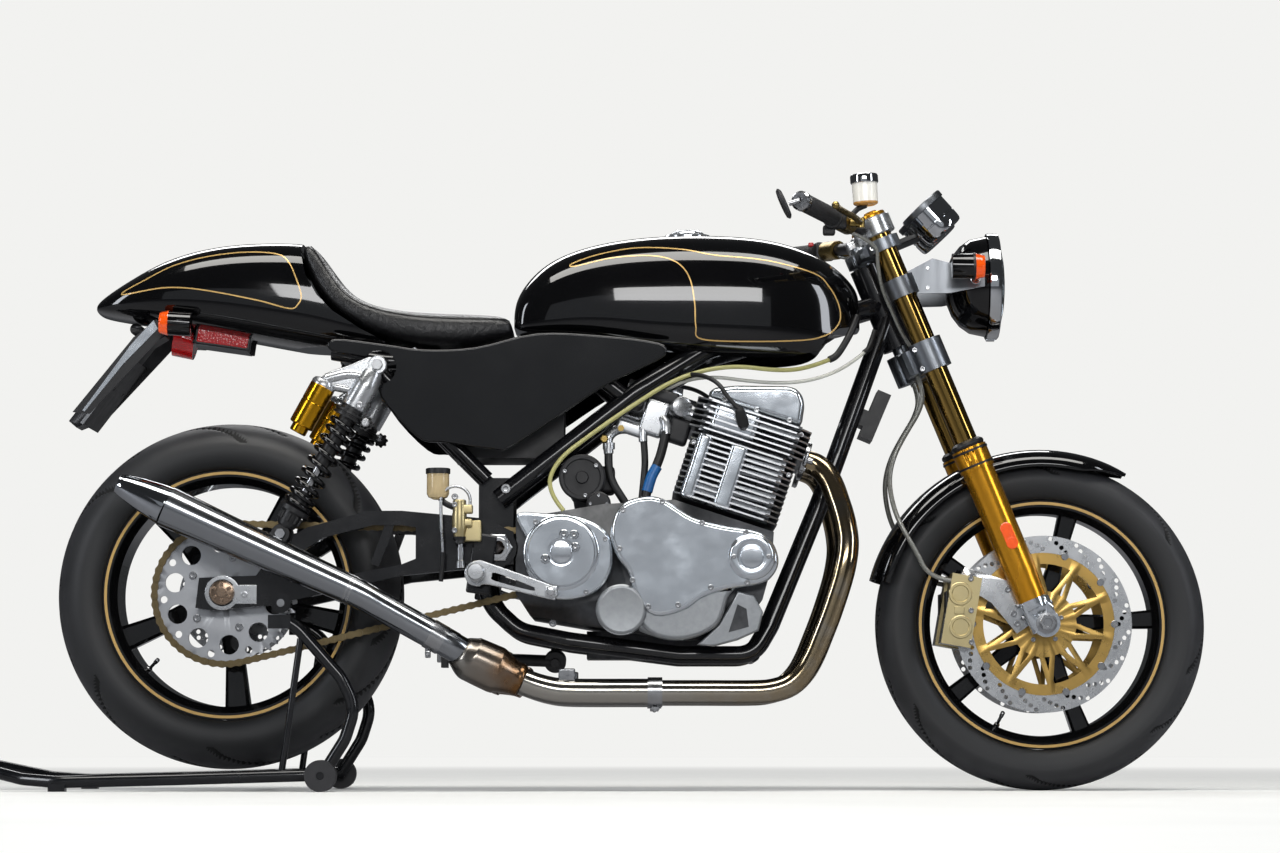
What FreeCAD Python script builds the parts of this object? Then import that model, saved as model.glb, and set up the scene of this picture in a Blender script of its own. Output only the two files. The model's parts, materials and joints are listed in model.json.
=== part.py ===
import FreeCAD, Part
import math
import os
import Sketcher

# A cafe racer motorcycle on its paddock stand, in millimetres.
# X runs forwards, Y to the rider's left and Z up from the floor.
# The origin lies on the floor under the middle of the whole outline.

V = FreeCAD.Vector
doc = FreeCAD.newDocument("cafe_racer")
sheet = doc.addObject("Spreadsheet::Sheet", "size")

SIZES = [
    # Wheels
    ("rear_axle_x", -620, "rear axle, forwards from the middle"),
    ("rear_axle_z", 353, "rear axle height, wheel lifted by the stand"),
    ("front_axle_x", 856, "front axle, forwards from the middle"),
    ("front_tyre_width", 120, "front tyre section width"),
    ("rear_tyre_width", 180, "rear tyre section width"),
    ("rim_radius", 226, "rim flange radius, 17 inch"),
    ("rim_depth", 24, "rim band, flange to inner face"),
    ("rim_lip", 22, "how far the rim stops short of the tyre width, each side"),
    ("spoke_count", 5, "cast spokes in each wheel"),
    ("spoke_width_rear", 40, "rear spoke width"),
    ("spoke_width_front", 30, "front spoke width"),
    ("spoke_depth", 44, "spoke depth across the wheel"),
    ("axle_radius", 12.5, "both axles"),
    ("fit", 0.3, "running and seating clearance"),
    # Brakes
    ("front_disc_radius", 160, "front disc"),
    ("front_disc_inner", 129, "inner edge of the front disc ring"),
    ("disc_thickness", 5, "disc thickness"),
    ("carrier_arms", 10, "arms of each front disc carrier"),
    ("rear_disc_radius", 110, "rear disc"),
    ("rear_disc_y", 100, "inner face of the rear disc"),
    # Chain drive
    ("chain_pitch", 15.875, "chain pitch"),
    ("chain_y", 110, "chain line, right of the middle"),
    ("chain_width", 17, "over the chain plates"),
    ("chain_height", 14, "height of a chain plate"),
    ("rear_teeth", 50, "teeth of the rear sprocket"),
    ("front_teeth", 20, "teeth of the gearbox sprocket"),
    ("sprocket_thickness", 7, "sprocket plate"),
    # Steering
    ("rake", 22.3, "steering axis from the vertical, degrees"),
    ("fork_lead", 6, "front axle ahead of the fork line"),
    ("fork_offset", 35, "fork line ahead of the steering axis"),
    ("fork_half", 102, "fork legs, each side of the middle"),
    ("fork_tube", 43, "fork tube diameter"),
    ("lower_tube", 58, "fork lower diameter"),
    ("head_tube", 60, "steering head outside diameter"),
    ("stem", 28, "steering stem diameter"),
    ("lower_yoke_at", 524, "middle of the lower yoke above the axle, along the fork"),
    ("lower_yoke", 56, "lower yoke height"),
    ("top_yoke_at", 742, "middle of the top yoke above the axle, along the fork"),
    ("top_yoke", 22, "top yoke thickness"),
    ("lower_top", 342, "top of the fork lowers above the axle, along the fork"),
    ("bar_tube", 22, "handlebar tube diameter"),
    ("grip", 33, "grip diameter"),
    ("bar_half", 352, "bar ends, each side of the middle"),
    ("bar_sweep", 146, "bar end behind its clamp"),
    # Frame
    ("main_tube", 38, "upper frame tubes"),
    ("cradle_tube", 33, "down tubes and bottom rails"),
    ("rear_tube", 28, "rear struts and seat rails"),
    ("cradle_half", 100, "bottom rails, each side of the middle"),
    ("pivot_x", -128, "swingarm pivot"),
    ("pivot_z", 433, "swingarm pivot height"),
    ("pivot_bore", 25, "bore of the hollow swingarm spindle"),
    ("pivot_spindle", 48, "outside of the spindle ends"),
    ("arm_inner", 126, "inner face of each swingarm side"),
    ("arm_thick", 26, "swingarm side thickness"),
    # Engine
    ("lean", 18, "cylinders lean forwards, degrees"),
    ("barrel_x", 277, "middle of the barrel foot"),
    ("barrel_z", 500, "height of the barrel foot"),
    ("barrel_long", 196, "barrel fins, front to back"),
    ("barrel_wide", 330, "barrel fins, side to side"),
    ("head_long", 214, "head fins, front to back"),
    ("head_wide", 350, "head fins, side to side"),
    ("fin_pitch", 10.3, "fin pitch"),
    ("fin_thick", 3.2, "fin thickness"),
    ("barrel_fins", 12, "fins on the barrel"),
    ("head_fins", 6, "fins on the head"),
    ("case_half", 150, "crankcase, each side of the middle"),
    ("cover_thick", 38, "timing cover stands off the crankcase"),
    ("header_tube", 43, "header pipe diameter"),
    ("link_tube", 48, "link pipe diameter"),
    ("muffler_front", 52, "muffler diameter at its front"),
    ("muffler_rear", 74, "muffler diameter at its end cap"),
    ("muffler_tip", 36, "tail pipe diameter"),
    ("muffler_y", 226, "muffler, out from the middle"),
    # Bodywork
    ("tank_half", 138, "fuel tank, half width"),
    ("seat_half", 122, "seat, half width"),
    ("tail_half", 118, "tail cowl, half width"),
    ("shell", 4, "mudguard and panel thickness"),
    ("headlamp", 197, "headlamp rim diameter"),
    ("gauge", 90, "instrument diameter"),
    # Rear suspension
    ("shock_y", 170, "shock absorbers, out from the middle"),
    ("spring", 56, "shock spring outside diameter"),
    ("shock_eye", 33, "shock eye diameter"),
    # Paddock stand
    ("stand_tube", 22, "paddock stand tube"),
    ("stand_half", 190, "stand side tubes, out from the middle"),
    ("stand_end", -1156, "rear end of the stand handle"),
    ("roller_x", -436, "stand roller axle"),
    ("roller_radius", 28, "stand roller"),
    ("roller_wide", 30, "stand roller width"),
    # Sizes that follow from others
    ("front_tyre_radius", "=rim_radius + 74", "120/70-17 tyre, outside radius and axle height"),
    ("rear_tyre_radius", "=rim_radius + 89", "180/55-17 tyre, outside radius"),
    ("mudguard_radius", "=front_tyre_radius + 21", "outside of the front mudguard"),
    ("mudguard_half", "=fork_half - lower_tube / 2 - 3", "front mudguard, half width"),
    ("front_disc_y", "=fork_half - lower_tube / 2 - disc_thickness - 4", "inner face of each front disc"),
]


def fill_sheet():
    for row, (alias, number, meaning) in enumerate(SIZES, start=1):
        sheet.set(f"A{row}", meaning)
        sheet.set(f"B{row}", str(number))
        sheet.setAlias(f"B{row}", alias)
    doc.recompute()


fill_sheet()


def size(alias):
    return float(getattr(sheet, alias))


def value(rule):
    if isinstance(rule, str):
        return float(sheet.evalExpression(rule.replace("size.", "")))
    return float(rule)


def bind(piece, prop, rule):
    if isinstance(rule, str):
        piece.setExpression(prop, rule)
    else:
        setattr(piece, prop, rule)


def turn_to(axis):
    return FreeCAD.Rotation(V(0, 0, 1), V(*axis))


def rod(name, start, end, radius):
    piece = doc.addObject("Part::Cylinder", name)
    run = V(*end) - V(*start)
    bind(piece, "Radius", radius)
    piece.Height = run.Length
    piece.Placement = FreeCAD.Placement(V(*start), turn_to(run))
    return piece


def taper(name, start, end, radius_1, radius_2):
    piece = doc.addObject("Part::Cone", name)
    run = V(*end) - V(*start)
    bind(piece, "Radius1", radius_1)
    bind(piece, "Radius2", radius_2)
    piece.Height = run.Length
    piece.Placement = FreeCAD.Placement(V(*start), turn_to(run))
    return piece


def block(name, centre, long, wide, tall, pitch=0.0):
    piece = doc.addObject("Part::Box", name)
    bind(piece, "Length", long)
    bind(piece, "Width", wide)
    bind(piece, "Height", tall)
    turn = FreeCAD.Rotation(V(0, 1, 0), pitch)
    half = V(value(long), value(wide), value(tall)) * 0.5
    piece.Placement = FreeCAD.Placement(V(*centre) - turn.multVec(half), turn)
    return piece


def fuse(label, pieces):
    piece = doc.addObject("Part::MultiFuse", label)
    piece.Shapes = pieces
    piece.Refine = True
    return piece


def cut(label, base, tool):
    piece = doc.addObject("Part::Cut", label)
    piece.Base = base
    piece.Tool = tool
    return piece


def both_sides(label, right):
    left = doc.addObject("Part::Mirroring", label + "_left")
    left.Source = right
    left.Normal = V(0, 1, 0)
    piece = doc.addObject("Part::Compound", label)
    piece.Links = [right, left]
    return piece


def together(label, pieces):
    piece = doc.addObject("Part::Compound", label)
    piece.Links = pieces
    return piece


def joined_sides(label, right, more=()):
    left = doc.addObject("Part::Mirroring", label + "_left")
    left.Source = right
    left.Normal = V(0, 1, 0)
    return fuse(label, [right, left, *more])


def bent_path(points, bends):
    # Straight runs joined by tangent arcs, one bend radius for each inner point.
    at = [V(*point) for point in points]
    edges = []
    begin = at[0]
    for corner, after, radius in zip(at[1:-1], at[2:], bends):
        back = (begin - corner).normalize()
        ahead = (after - corner).normalize()
        half = back.getAngle(ahead) / 2
        reach = radius / math.tan(half)
        entry = corner + back * reach
        leave = corner + ahead * reach
        middle = corner + (back + ahead).normalize() * (radius / math.sin(half) - radius)
        edges.append(Part.LineSegment(begin, entry).toShape())
        edges.append(Part.Arc(entry, middle, leave).toShape())
        begin = leave
    edges.append(Part.LineSegment(begin, at[-1]).toShape())
    return Part.Wire(edges)


def soft_bends(points, most):
    # Bend radii as large as the runs allow, up to a limit.
    at = [V(*point) for point in points]
    bends = []
    for before, corner, after in zip(at, at[1:], at[2:]):
        run = min((corner - before).Length, (after - corner).Length)
        turn = math.pi - (before - corner).getAngle(after - corner)
        bends.append(min(most, 0.45 * run / math.tan(turn / 2)))
    return bends


def tube(name, points, diameter, most=60.0):
    route = doc.addObject("Part::Feature", name + "_route")
    wire = bent_path(points, soft_bends(points, most))
    route.Shape = wire
    ring = doc.addObject("Part::Circle", name + "_ring")
    if isinstance(diameter, str):
        ring.setExpression("Radius", f"({diameter}) / 2")
    else:
        ring.Radius = diameter / 2
    start = V(*points[0])
    ring.Placement = FreeCAD.Placement(start, turn_to(V(*points[1]) - start))
    piece = doc.addObject("Part::Sweep", name)
    piece.Sections = [ring]
    piece.Spine = (route, [])
    piece.Solid = True
    piece.Frenet = False
    return piece


def origin_plane(body, role):
    return next(item for item in body.Origin.OriginFeatures if item.Role == role)


def sketch_on(body, role):
    sketch = body.newObject("Sketcher::SketchObject", body.Name + "_sketch")
    sketch.AttachmentSupport = (origin_plane(body, role), [""])
    sketch.MapMode = "FlatFace"
    return sketch


def draw(sketch, corners):
    # A closed outline whose corners are held by sheet expressions or by fixed distances.
    at = [V(value(across), value(up), 0) for across, up in corners]
    first = sketch.GeometryCount
    for begin, end in zip(at, at[1:] + at[:1]):
        sketch.addGeometry(Part.LineSegment(begin, end))
    for index, (across, up) in enumerate(corners):
        edge = first + index
        following = first + (index + 1) % len(corners)
        sketch.addConstraint(Sketcher.Constraint("Coincident", edge, 2, following, 1))
        hold(sketch, "DistanceX", edge, across)
        hold(sketch, "DistanceY", edge, up)


def hold(sketch, kind, edge, rule):
    constraint = Sketcher.Constraint(kind, -1, 1, edge, 1, value(rule))
    number = sketch.addConstraint(constraint)
    if isinstance(rule, str):
        sketch.setExpression(f"Constraints[{number}]", rule)


def turned(label, outline, centre, axis=(0, 1, 0)):
    # A body of revolution: each corner is (place along the axis, radius).
    body = doc.addObject("PartDesign::Body", label)
    sketch = sketch_on(body, "YZ_Plane")
    draw(sketch, outline)
    spin = body.newObject("PartDesign::Revolution", body.Name + "_spin")
    spin.Profile = sketch
    spin.ReferenceAxis = (sketch, ["H_Axis"])
    spin.Angle = 360
    body.Tip = spin
    turn = FreeCAD.Rotation(V(0, 1, 0), V(*axis))
    body.Placement = FreeCAD.Placement(V(*centre), turn)
    return body


def plate(label, outline, near, thick, place=None):
    # A flat piece cut to an outline in X and Z, from y = near towards the left.
    body = doc.addObject("PartDesign::Body", label)
    sketch = sketch_on(body, "XZ_Plane")
    draw(sketch, outline)
    pad = body.newObject("PartDesign::Pad", body.Name + "_pad")
    pad.Profile = sketch
    bind(pad, "Length", thick)
    pad.Reversed = True
    body.Tip = pad
    body.Placement = place or FreeCAD.Placement(V(0, value(near), 0), FreeCAD.Rotation())
    return body


def shaped(label, shape):
    piece = doc.addObject("Part::Feature", label)
    piece.Shape = shape
    return piece


# Places that several pieces share

REAR = (size("rear_axle_x"), 0, size("rear_axle_z"))
FRONT = (size("front_axle_x"), 0, size("front_tyre_radius"))
RAKE = math.radians(size("rake"))
UP_FORK = V(-math.sin(RAKE), 0, math.cos(RAKE))
AHEAD = V(math.cos(RAKE), 0, math.sin(RAKE))
LEAN = math.radians(size("lean"))
UP_BARREL = V(math.sin(LEAN), 0, math.cos(LEAN))
BARREL = V(size("barrel_x"), 0, size("barrel_z"))
PIVOT = V(size("pivot_x"), 0, size("pivot_z"))


def on_fork(along, ahead=0.0, side=0.0):
    # A point by its distance up the fork line from the axle, ahead of it and to the side.
    foot = V(FRONT[0] - size("fork_lead"), 0, FRONT[2])
    point = foot + UP_FORK * along + AHEAD * ahead
    return (point.x, side, point.z)


def on_stem(along, ahead=0.0, side=0.0):
    return on_fork(along, ahead - size("fork_offset"), side)


def on_barrel(up, ahead=0.0, side=0.0):
    forwards = V(math.cos(LEAN), 0, -math.sin(LEAN))
    point = BARREL + UP_BARREL * up + forwards * ahead
    return (point.x, side, point.z)


# Wheels, brakes and final drive

def wheel_tyre(label, centre, end):
    half = f"size.{end}_tyre_width / 2"
    crown = f"size.{end}_tyre_radius"
    seat = "size.rim_radius + size.fit"
    bead = f"size.{end}_tyre_width / 2 - size.rim_lip"
    outline = [
        (f"-({bead})", seat),
        (f"-({half})", f"{seat} + ({crown} - size.rim_radius) * 0.42"),
        (f"-({half}) * 0.4", crown),
        (f"({half}) * 0.4", crown),
        (half, f"{seat} + ({crown} - size.rim_radius) * 0.42"),
        (bead, seat),
    ]
    return turned(label, outline, centre)


def wheel_rim(label, centre, end, hub_half, hub_radius, spoke_wide, first_angle, more=()):
    half = f"size.{end}_tyre_width / 2 - size.rim_lip + 4"
    inner = "size.rim_radius - size.rim_depth"
    ring = turned(label + "_ring", [
        (f"-({half})", "size.rim_radius"),
        (f"-({half})", f"{inner} + 12"),
        (f"-({half}) * 0.7", inner),
        (f"({half}) * 0.7", inner),
        (half, f"{inner} + 12"),
        (half, "size.rim_radius"),
    ], centre)
    bore = "size.axle_radius + size.fit"
    hub = turned(label + "_hub", [
        (f"-({hub_half})", bore),
        (f"-({hub_half})", f"({hub_radius}) - 8"),
        (f"-({hub_half}) * 0.5", hub_radius),
        (f"({hub_half}) * 0.5", hub_radius),
        (hub_half, f"({hub_radius}) - 8"),
        (hub_half, bore),
    ], centre)
    spokes = []
    count = int(size("spoke_count"))
    for number in range(count):
        spokes.append(spoke(f"{label}_spoke_{number}", centre, value(hub_radius), spoke_wide,
                            first_angle + 360.0 / count * number))
    return fuse(label, [ring, hub, *spokes, *more])


def spoke(label, centre, hub_radius, wide, angle):
    # Lofted from a deep foot at the hub to a shallower end inside the rim.
    start = hub_radius - 10
    end = size("rim_radius") - size("rim_depth") + 4
    deep = size("spoke_depth")
    stations = ((start, value(wide) * 1.25, deep), ((start + end) / 2, value(wide) * 0.86, deep * 0.8),
                (end, value(wide) * 1.15, deep * 0.9))
    rings = []
    turn = FreeCAD.Rotation(V(0, 1, 0), -angle)
    for reach, across, depth in stations:
        corners = [V(reach, sy * depth / 2, sz * across / 2)
                   for sy, sz in ((-1, -0.72), (-0.72, -1), (0.72, -1), (1, -0.72),
                                  (1, 0.72), (0.72, 1), (-0.72, 1), (-1, 0.72))]
        placed = [turn.multVec(corner) + V(*centre) for corner in corners]
        rings.append(shaped(f"{label}_at_{reach:.0f}", Part.makePolygon(placed + placed[:1])))
    piece = doc.addObject("Part::Loft", label)
    piece.Sections = rings
    piece.Solid = True
    piece.Ruled = True
    return piece


def ring_plate(label, centre, near, thick, outer, inner):
    return turned(label, [
        (near, inner),
        (near, outer),
        (f"({near}) + ({thick})", outer),
        (f"({near}) + ({thick})", inner),
    ], centre)


def front_carrier(label, near):
    # The floating disc's carrier: a hub ring with splayed arms to the bobbins.
    hub = ring_plate(label + "_hub", FRONT, near, 5, 60, "size.axle_radius + 8")
    reach = size("front_disc_inner") - 0.5
    side = value(near)
    arms = []
    count = int(size("carrier_arms"))
    for number in range(count):
        middle = -84 + 360.0 / count * number
        for swing in (-13, 13):
            arms.append(strip(f"{label}_arm_{number}_{swing}", FRONT, side, 5, (50, middle + swing),
                              (reach - 16, middle), 9))
    rim = ring_plate(label + "_rim", FRONT, near, 5, "size.front_disc_inner - size.fit",
                     "size.front_disc_inner - 20")
    return fuse(label, [hub, rim, *arms])


def strip(label, centre, near, thick, start, end, wide):
    # A flat bar in a wheel's plane between two points given as radius and angle.
    points = [V(math.cos(math.radians(angle)) * reach, 0, math.sin(math.radians(angle)) * reach)
              for reach, angle in (start, end)]
    middle = (points[0] + points[1]) * 0.5 + V(centre[0], near + thick / 2, centre[2])
    run = points[1] - points[0]
    pitch = -math.degrees(math.atan2(run.z, run.x))
    return block(label, tuple(middle), run.Length, thick, wide, pitch)


def sprocket(label):
    teeth = int(size("rear_teeth"))
    step = math.pi / teeth
    pitch_radius = size("chain_pitch") / 2 / math.sin(step)
    tip = pitch_radius + 4.6
    root = pitch_radius - 5.0
    corners = []
    for number in range(teeth):
        for share, radius in ((-0.62, root), (-0.2, tip), (0.2, tip), (0.62, root)):
            angle = (2 * number + share) * step
            corners.append((radius * math.cos(angle), radius * math.sin(angle)))
    near = -size("chain_y") - size("sprocket_thickness") / 2
    points = [V(REAR[0] + across, near, REAR[2] + up) for across, up in corners]
    blank = doc.addObject("Part::Extrusion", label + "_blank")
    blank.Base = shaped(label + "_outline", Part.makePolygon(points + points[:1]))
    blank.Dir = V(0, 1, 0)
    blank.Solid = True
    blank.setExpression("LengthFwd", "size.sprocket_thickness")
    holes = []
    for number in range(10):
        large = math.radians(-84.5 + 36 * number)
        small = large + math.radians(18)
        for angle, reach, radius in ((large, 92, 17.5), (small, 110, 6.5)):
            at = (REAR[0] + reach * math.cos(angle), near - 1, REAR[2] + reach * math.sin(angle))
            far = (at[0], near + size("sprocket_thickness") + 1, at[2])
            holes.append(rod(f"{label}_hole_{number}_{reach}", at, far, radius))
    bore = rod(label + "_bore", (REAR[0], near - 1, REAR[2]), (REAR[0], near + 9, REAR[2]),
               "size.axle_radius + 12")
    drilled = cut(label + "_drilled", blank, fuse(label + "_holes", [*holes, bore]))
    hub = turned(label + "_carrier", [
        ("-size.chain_y + size.sprocket_thickness / 2", "size.axle_radius + size.fit"),
        ("-size.chain_y + size.sprocket_thickness / 2", 66),
        (-84, 66),
        (-70, 58),
        (-70, "size.axle_radius + size.fit"),
    ], REAR)
    return fuse(label, [drilled, hub])


def chain_path(offset):
    # Outline points of the closed chain loop at a distance from its pitch line.
    rear = size("chain_pitch") / 2 / math.sin(math.pi / size("rear_teeth"))
    front = size("chain_pitch") / 2 / math.sin(math.pi / size("front_teeth"))
    ahead = V(FRONT_SPROCKET[0] - REAR[0], 0, FRONT_SPROCKET[2] - REAR[2])
    lean = math.atan2(ahead.z, ahead.x)
    open_angle = math.acos((rear - front) / ahead.Length)
    straight = math.sqrt(ahead.Length ** 2 - (rear - front) ** 2)
    arcs = (rear * (2 * math.pi - 2 * open_angle), front * 2 * open_angle)
    total = 2 * straight + sum(arcs)
    links = int(round(total / size("chain_pitch") / 2) * 2)
    # A corner for each link round the two sprockets, and none on the straight runs
    points = []
    for number in range(links):
        along = total * number / links
        if near_arc(along, straight, front * 2 * open_angle, size("chain_pitch")):
            points.append(chain_point(along, offset, rear, front, lean, open_angle, straight))
    return points


def near_arc(along, straight, wrap, margin):
    # Whether a place along the chain is on a sprocket or within one link of it.
    upper = margin < along < straight - margin
    lower = straight + wrap + margin < along < straight * 2 + wrap - margin
    return not upper and not lower


def chain_point(along, offset, rear, front, lean, open_angle, straight):
    wrap_front = front * 2 * open_angle
    base = V(REAR[0], 0, REAR[2])
    fore = V(FRONT_SPROCKET[0], 0, FRONT_SPROCKET[2])
    top = lean + open_angle
    if along < straight:
        out = V(math.cos(top), 0, math.sin(top))
        start = base + out * rear
        finish = fore + out * front
        return start + (finish - start) * (along / straight) + out * offset
    along -= straight
    if along < wrap_front:
        angle = top - along / front
        return fore + V(math.cos(angle), 0, math.sin(angle)) * (front + offset)
    along -= wrap_front
    low = lean - open_angle
    if along < straight:
        out = V(math.cos(low), 0, math.sin(low))
        start = fore + out * front
        finish = base + out * rear
        return start + (finish - start) * (along / straight) + out * offset
    along -= straight
    angle = low - along / rear
    return base + V(math.cos(angle), 0, math.sin(angle)) * (rear + offset)


def drive_chain():
    half = size("chain_height") / 2
    near = -size("chain_y") - size("chain_width") / 2
    solids = []
    for offset in (half, -half):
        points = [point + V(0, near, 0) for point in chain_path(offset)]
        face = Part.Face(Part.makePolygon(points + points[:1]))
        solids.append(face.extrude(V(0, size("chain_width"), 0)))
    loop = shaped("chain_loop", solids[0].cut(solids[1]))
    slot = size("sprocket_thickness") + 2
    start = -size("chain_y") - slot / 2
    tip = size("chain_pitch") / 2 / math.sin(math.pi / size("rear_teeth")) + half + 1
    groove = rod("chain_tooth_slot", (REAR[0], start, REAR[2]), (REAR[0], start + slot, REAR[2]), tip)
    return cut("drive_chain", loop, groove)


FRONT_SPROCKET = (-52, 0, 415)


def wheels():
    wheel_tyre("front_tyre", FRONT, "front")
    wheel_tyre("rear_tyre", REAR, "rear")
    wheel_rim("front_rim", FRONT, "front", "size.front_disc_y - size.fit", "36", "size.spoke_width_front", 75)
    spigot = ring_plate("rear_disc_spigot", REAR, 50, "size.rear_disc_y - size.fit - 50", 54,
                        "size.axle_radius + size.fit")
    wheel_rim("rear_rim", REAR, "rear", "70 - size.fit", "52", "size.spoke_width_rear", 58, [spigot])
    ring = ring_plate("front_disc", FRONT, "-size.front_disc_y - size.disc_thickness",
                      "size.disc_thickness", "size.front_disc_radius", "size.front_disc_inner")
    carrier = front_carrier("front_disc_carrier", "-size.front_disc_y - size.disc_thickness")
    both_sides("front_discs", together("front_disc_right", [ring, carrier]))
    ring_plate("rear_disc", REAR, "size.rear_disc_y", "size.disc_thickness",
               "size.rear_disc_radius", 46)
    sprocket("rear_sprocket")
    drive_chain()


# Fork, yokes and what turns with the bars

def fork():
    half = -size("fork_half")
    upper = rod("fork_tube_right", on_fork(size("lower_top") + size("fit"), 0, half),
                on_fork(800, 0, half), "size.fork_tube / 2")
    both_sides("fork_tubes", upper)
    lower = fuse("fork_lower_right", [
        taper("fork_lower_body", on_fork(28, 0, half), on_fork(110, 0, half), 25, "size.lower_tube / 2"),
        rod("fork_lower_shank", on_fork(110, 0, half), on_fork(300, 0, half), "size.lower_tube / 2"),
        rod("fork_lower_collar", on_fork(300, 0, half), on_fork(size("lower_top"), 0, half), 32),
        axle_foot(half),
        block("mudguard_ear", on_fork(300, 4, -size("mudguard_half") - 8.3), 40, 16, 34, -size("rake")),
    ])
    both_sides("fork_lowers", lower)
    stem = rod("steering_stem", on_stem(size("lower_yoke_at")), on_stem(size("top_yoke_at") + 24),
               "size.stem / 2")
    yokes = [stem]
    for label, at, tall in (("lower_yoke_part", "lower_yoke_at", "lower_yoke"),
                            ("top_yoke_part", "top_yoke_at", "top_yoke")):
        yokes.extend(yoke_part(label, size(at), tall))
    leg_bore = "size.fork_tube / 2 + size.fit"
    tubes = fuse("yoke_leg_bores", [
        rod("yoke_bore_right", on_fork(400, 0, half), on_fork(900, 0, half), leg_bore),
        rod("yoke_bore_left", on_fork(400, 0, -half), on_fork(900, 0, -half), leg_bore),
    ])
    cut("yokes", fuse("yokes_blank", yokes), tubes)
    rod("front_axle", (FRONT[0], -140, FRONT[2]), (FRONT[0], 140, FRONT[2]), "size.axle_radius")


def yoke_part(label, at, tall):
    half = size("fork_half")
    low = at - size(tall) / 2
    high = at + size(tall) / 2
    pieces = []
    for name, side in (("right", -half), ("left", half)):
        pieces.append(rod(f"{label}_{name}", on_fork(low, 0, side), on_fork(high, 0, side), 31))
    middle = on_fork(at, -size("fork_offset") / 2)
    pieces.append(block(label + "_bridge", middle, "size.fork_offset + 24", "2 * size.fork_half",
                        f"size.{tall} * 0.8", -size("rake")))
    pieces.append(rod(label + "_boss", on_stem(low), on_stem(high), "size.head_tube / 2"))
    return pieces


def axle_foot(half):
    # The foot below each leg that clamps the axle.
    foot = fuse("axle_foot_block", [
        block("axle_foot_web", on_fork(16, 2, half), 52, 34, 56, -size("rake")),
        rod("axle_foot_boss", (FRONT[0], half - 17, FRONT[2]), (FRONT[0], half + 17, FRONT[2]), 25),
    ])
    bore = rod("axle_foot_bore", (FRONT[0], half - 60, FRONT[2]), (FRONT[0], half + 60, FRONT[2]),
               "size.axle_radius + size.fit")
    return cut("axle_foot", foot, bore)


def front_mudguard():
    outer = "size.mudguard_radius"
    half = "size.mudguard_half"
    body = doc.addObject("PartDesign::Body", "front_mudguard")
    sketch = sketch_on(body, "YZ_Plane")
    draw(sketch, [
        (f"-{half}", f"{outer} - 36"),
        (f"-{half}", f"{outer} - 16"),
        (f"-{half} * 0.72", f"{outer} - 4"),
        (f"-{half} * 0.3", outer),
        (f"{half} * 0.3", outer),
        (f"{half} * 0.72", f"{outer} - 4"),
        (half, f"{outer} - 16"),
        (half, f"{outer} - 36"),
        (f"{half} - size.shell", f"{outer} - 36"),
        (f"{half} - size.shell", f"{outer} - 17"),
        (f"{half} * 0.7", f"{outer} - 4 - size.shell"),
        (f"-{half} * 0.7", f"{outer} - 4 - size.shell"),
        (f"-({half} - size.shell)", f"{outer} - 17"),
        (f"-({half} - size.shell)", f"{outer} - 36"),
    ])
    spin = body.newObject("PartDesign::Revolution", "front_mudguard_spin")
    spin.Profile = sketch
    spin.ReferenceAxis = (sketch, ["H_Axis"])
    spin.Angle = 107
    body.Tip = spin
    # The guard runs from just ahead of the wheel's top round to the rear.
    body.Placement = FreeCAD.Placement(V(*FRONT), FreeCAD.Rotation(V(0, 1, 0), -77))


def front_brakes():
    half = size("front_disc_y") + size("disc_thickness") / 2
    angle = math.radians(171)
    at = (FRONT[0] + 152 * math.cos(angle), -half, FRONT[2] + 152 * math.sin(angle))
    body = block("caliper_body", at, 54, 58, 128, 10)
    slot = turned("caliper_slot", [
        (f"{-half - 3.5}", 90), (f"{-half - 3.5}", "size.front_disc_radius + 4"),
        (f"{-half + 3.5}", "size.front_disc_radius + 4"), (f"{-half + 3.5}", 90),
    ], FRONT)
    bracket = plate("caliper_bracket", [
        (698, 376), (713, 402), (806, 372), (832, 300), (806, 282), (760, 338),
    ], "12 - size.fork_half", 9)
    leg = -size("fork_half")
    leg_room = fuse("caliper_leg_room", [
        taper("caliper_leg_foot", on_fork(28, 0, leg), on_fork(110, 0, leg), "25 + size.fit",
              "size.lower_tube / 2 + size.fit"),
        rod("caliper_leg_shank", on_fork(110, 0, leg), on_fork(200, 0, leg),
            "size.lower_tube / 2 + size.fit"),
        block("caliper_foot_room", on_fork(16, 2, leg), 52.6, 34.6, 56.6, -size("rake")),
    ])
    right = cut("front_caliper", fuse("caliper_blank", [body, bracket]),
                fuse("caliper_rooms", [slot, leg_room]))
    both_sides("front_calipers", right)


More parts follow.
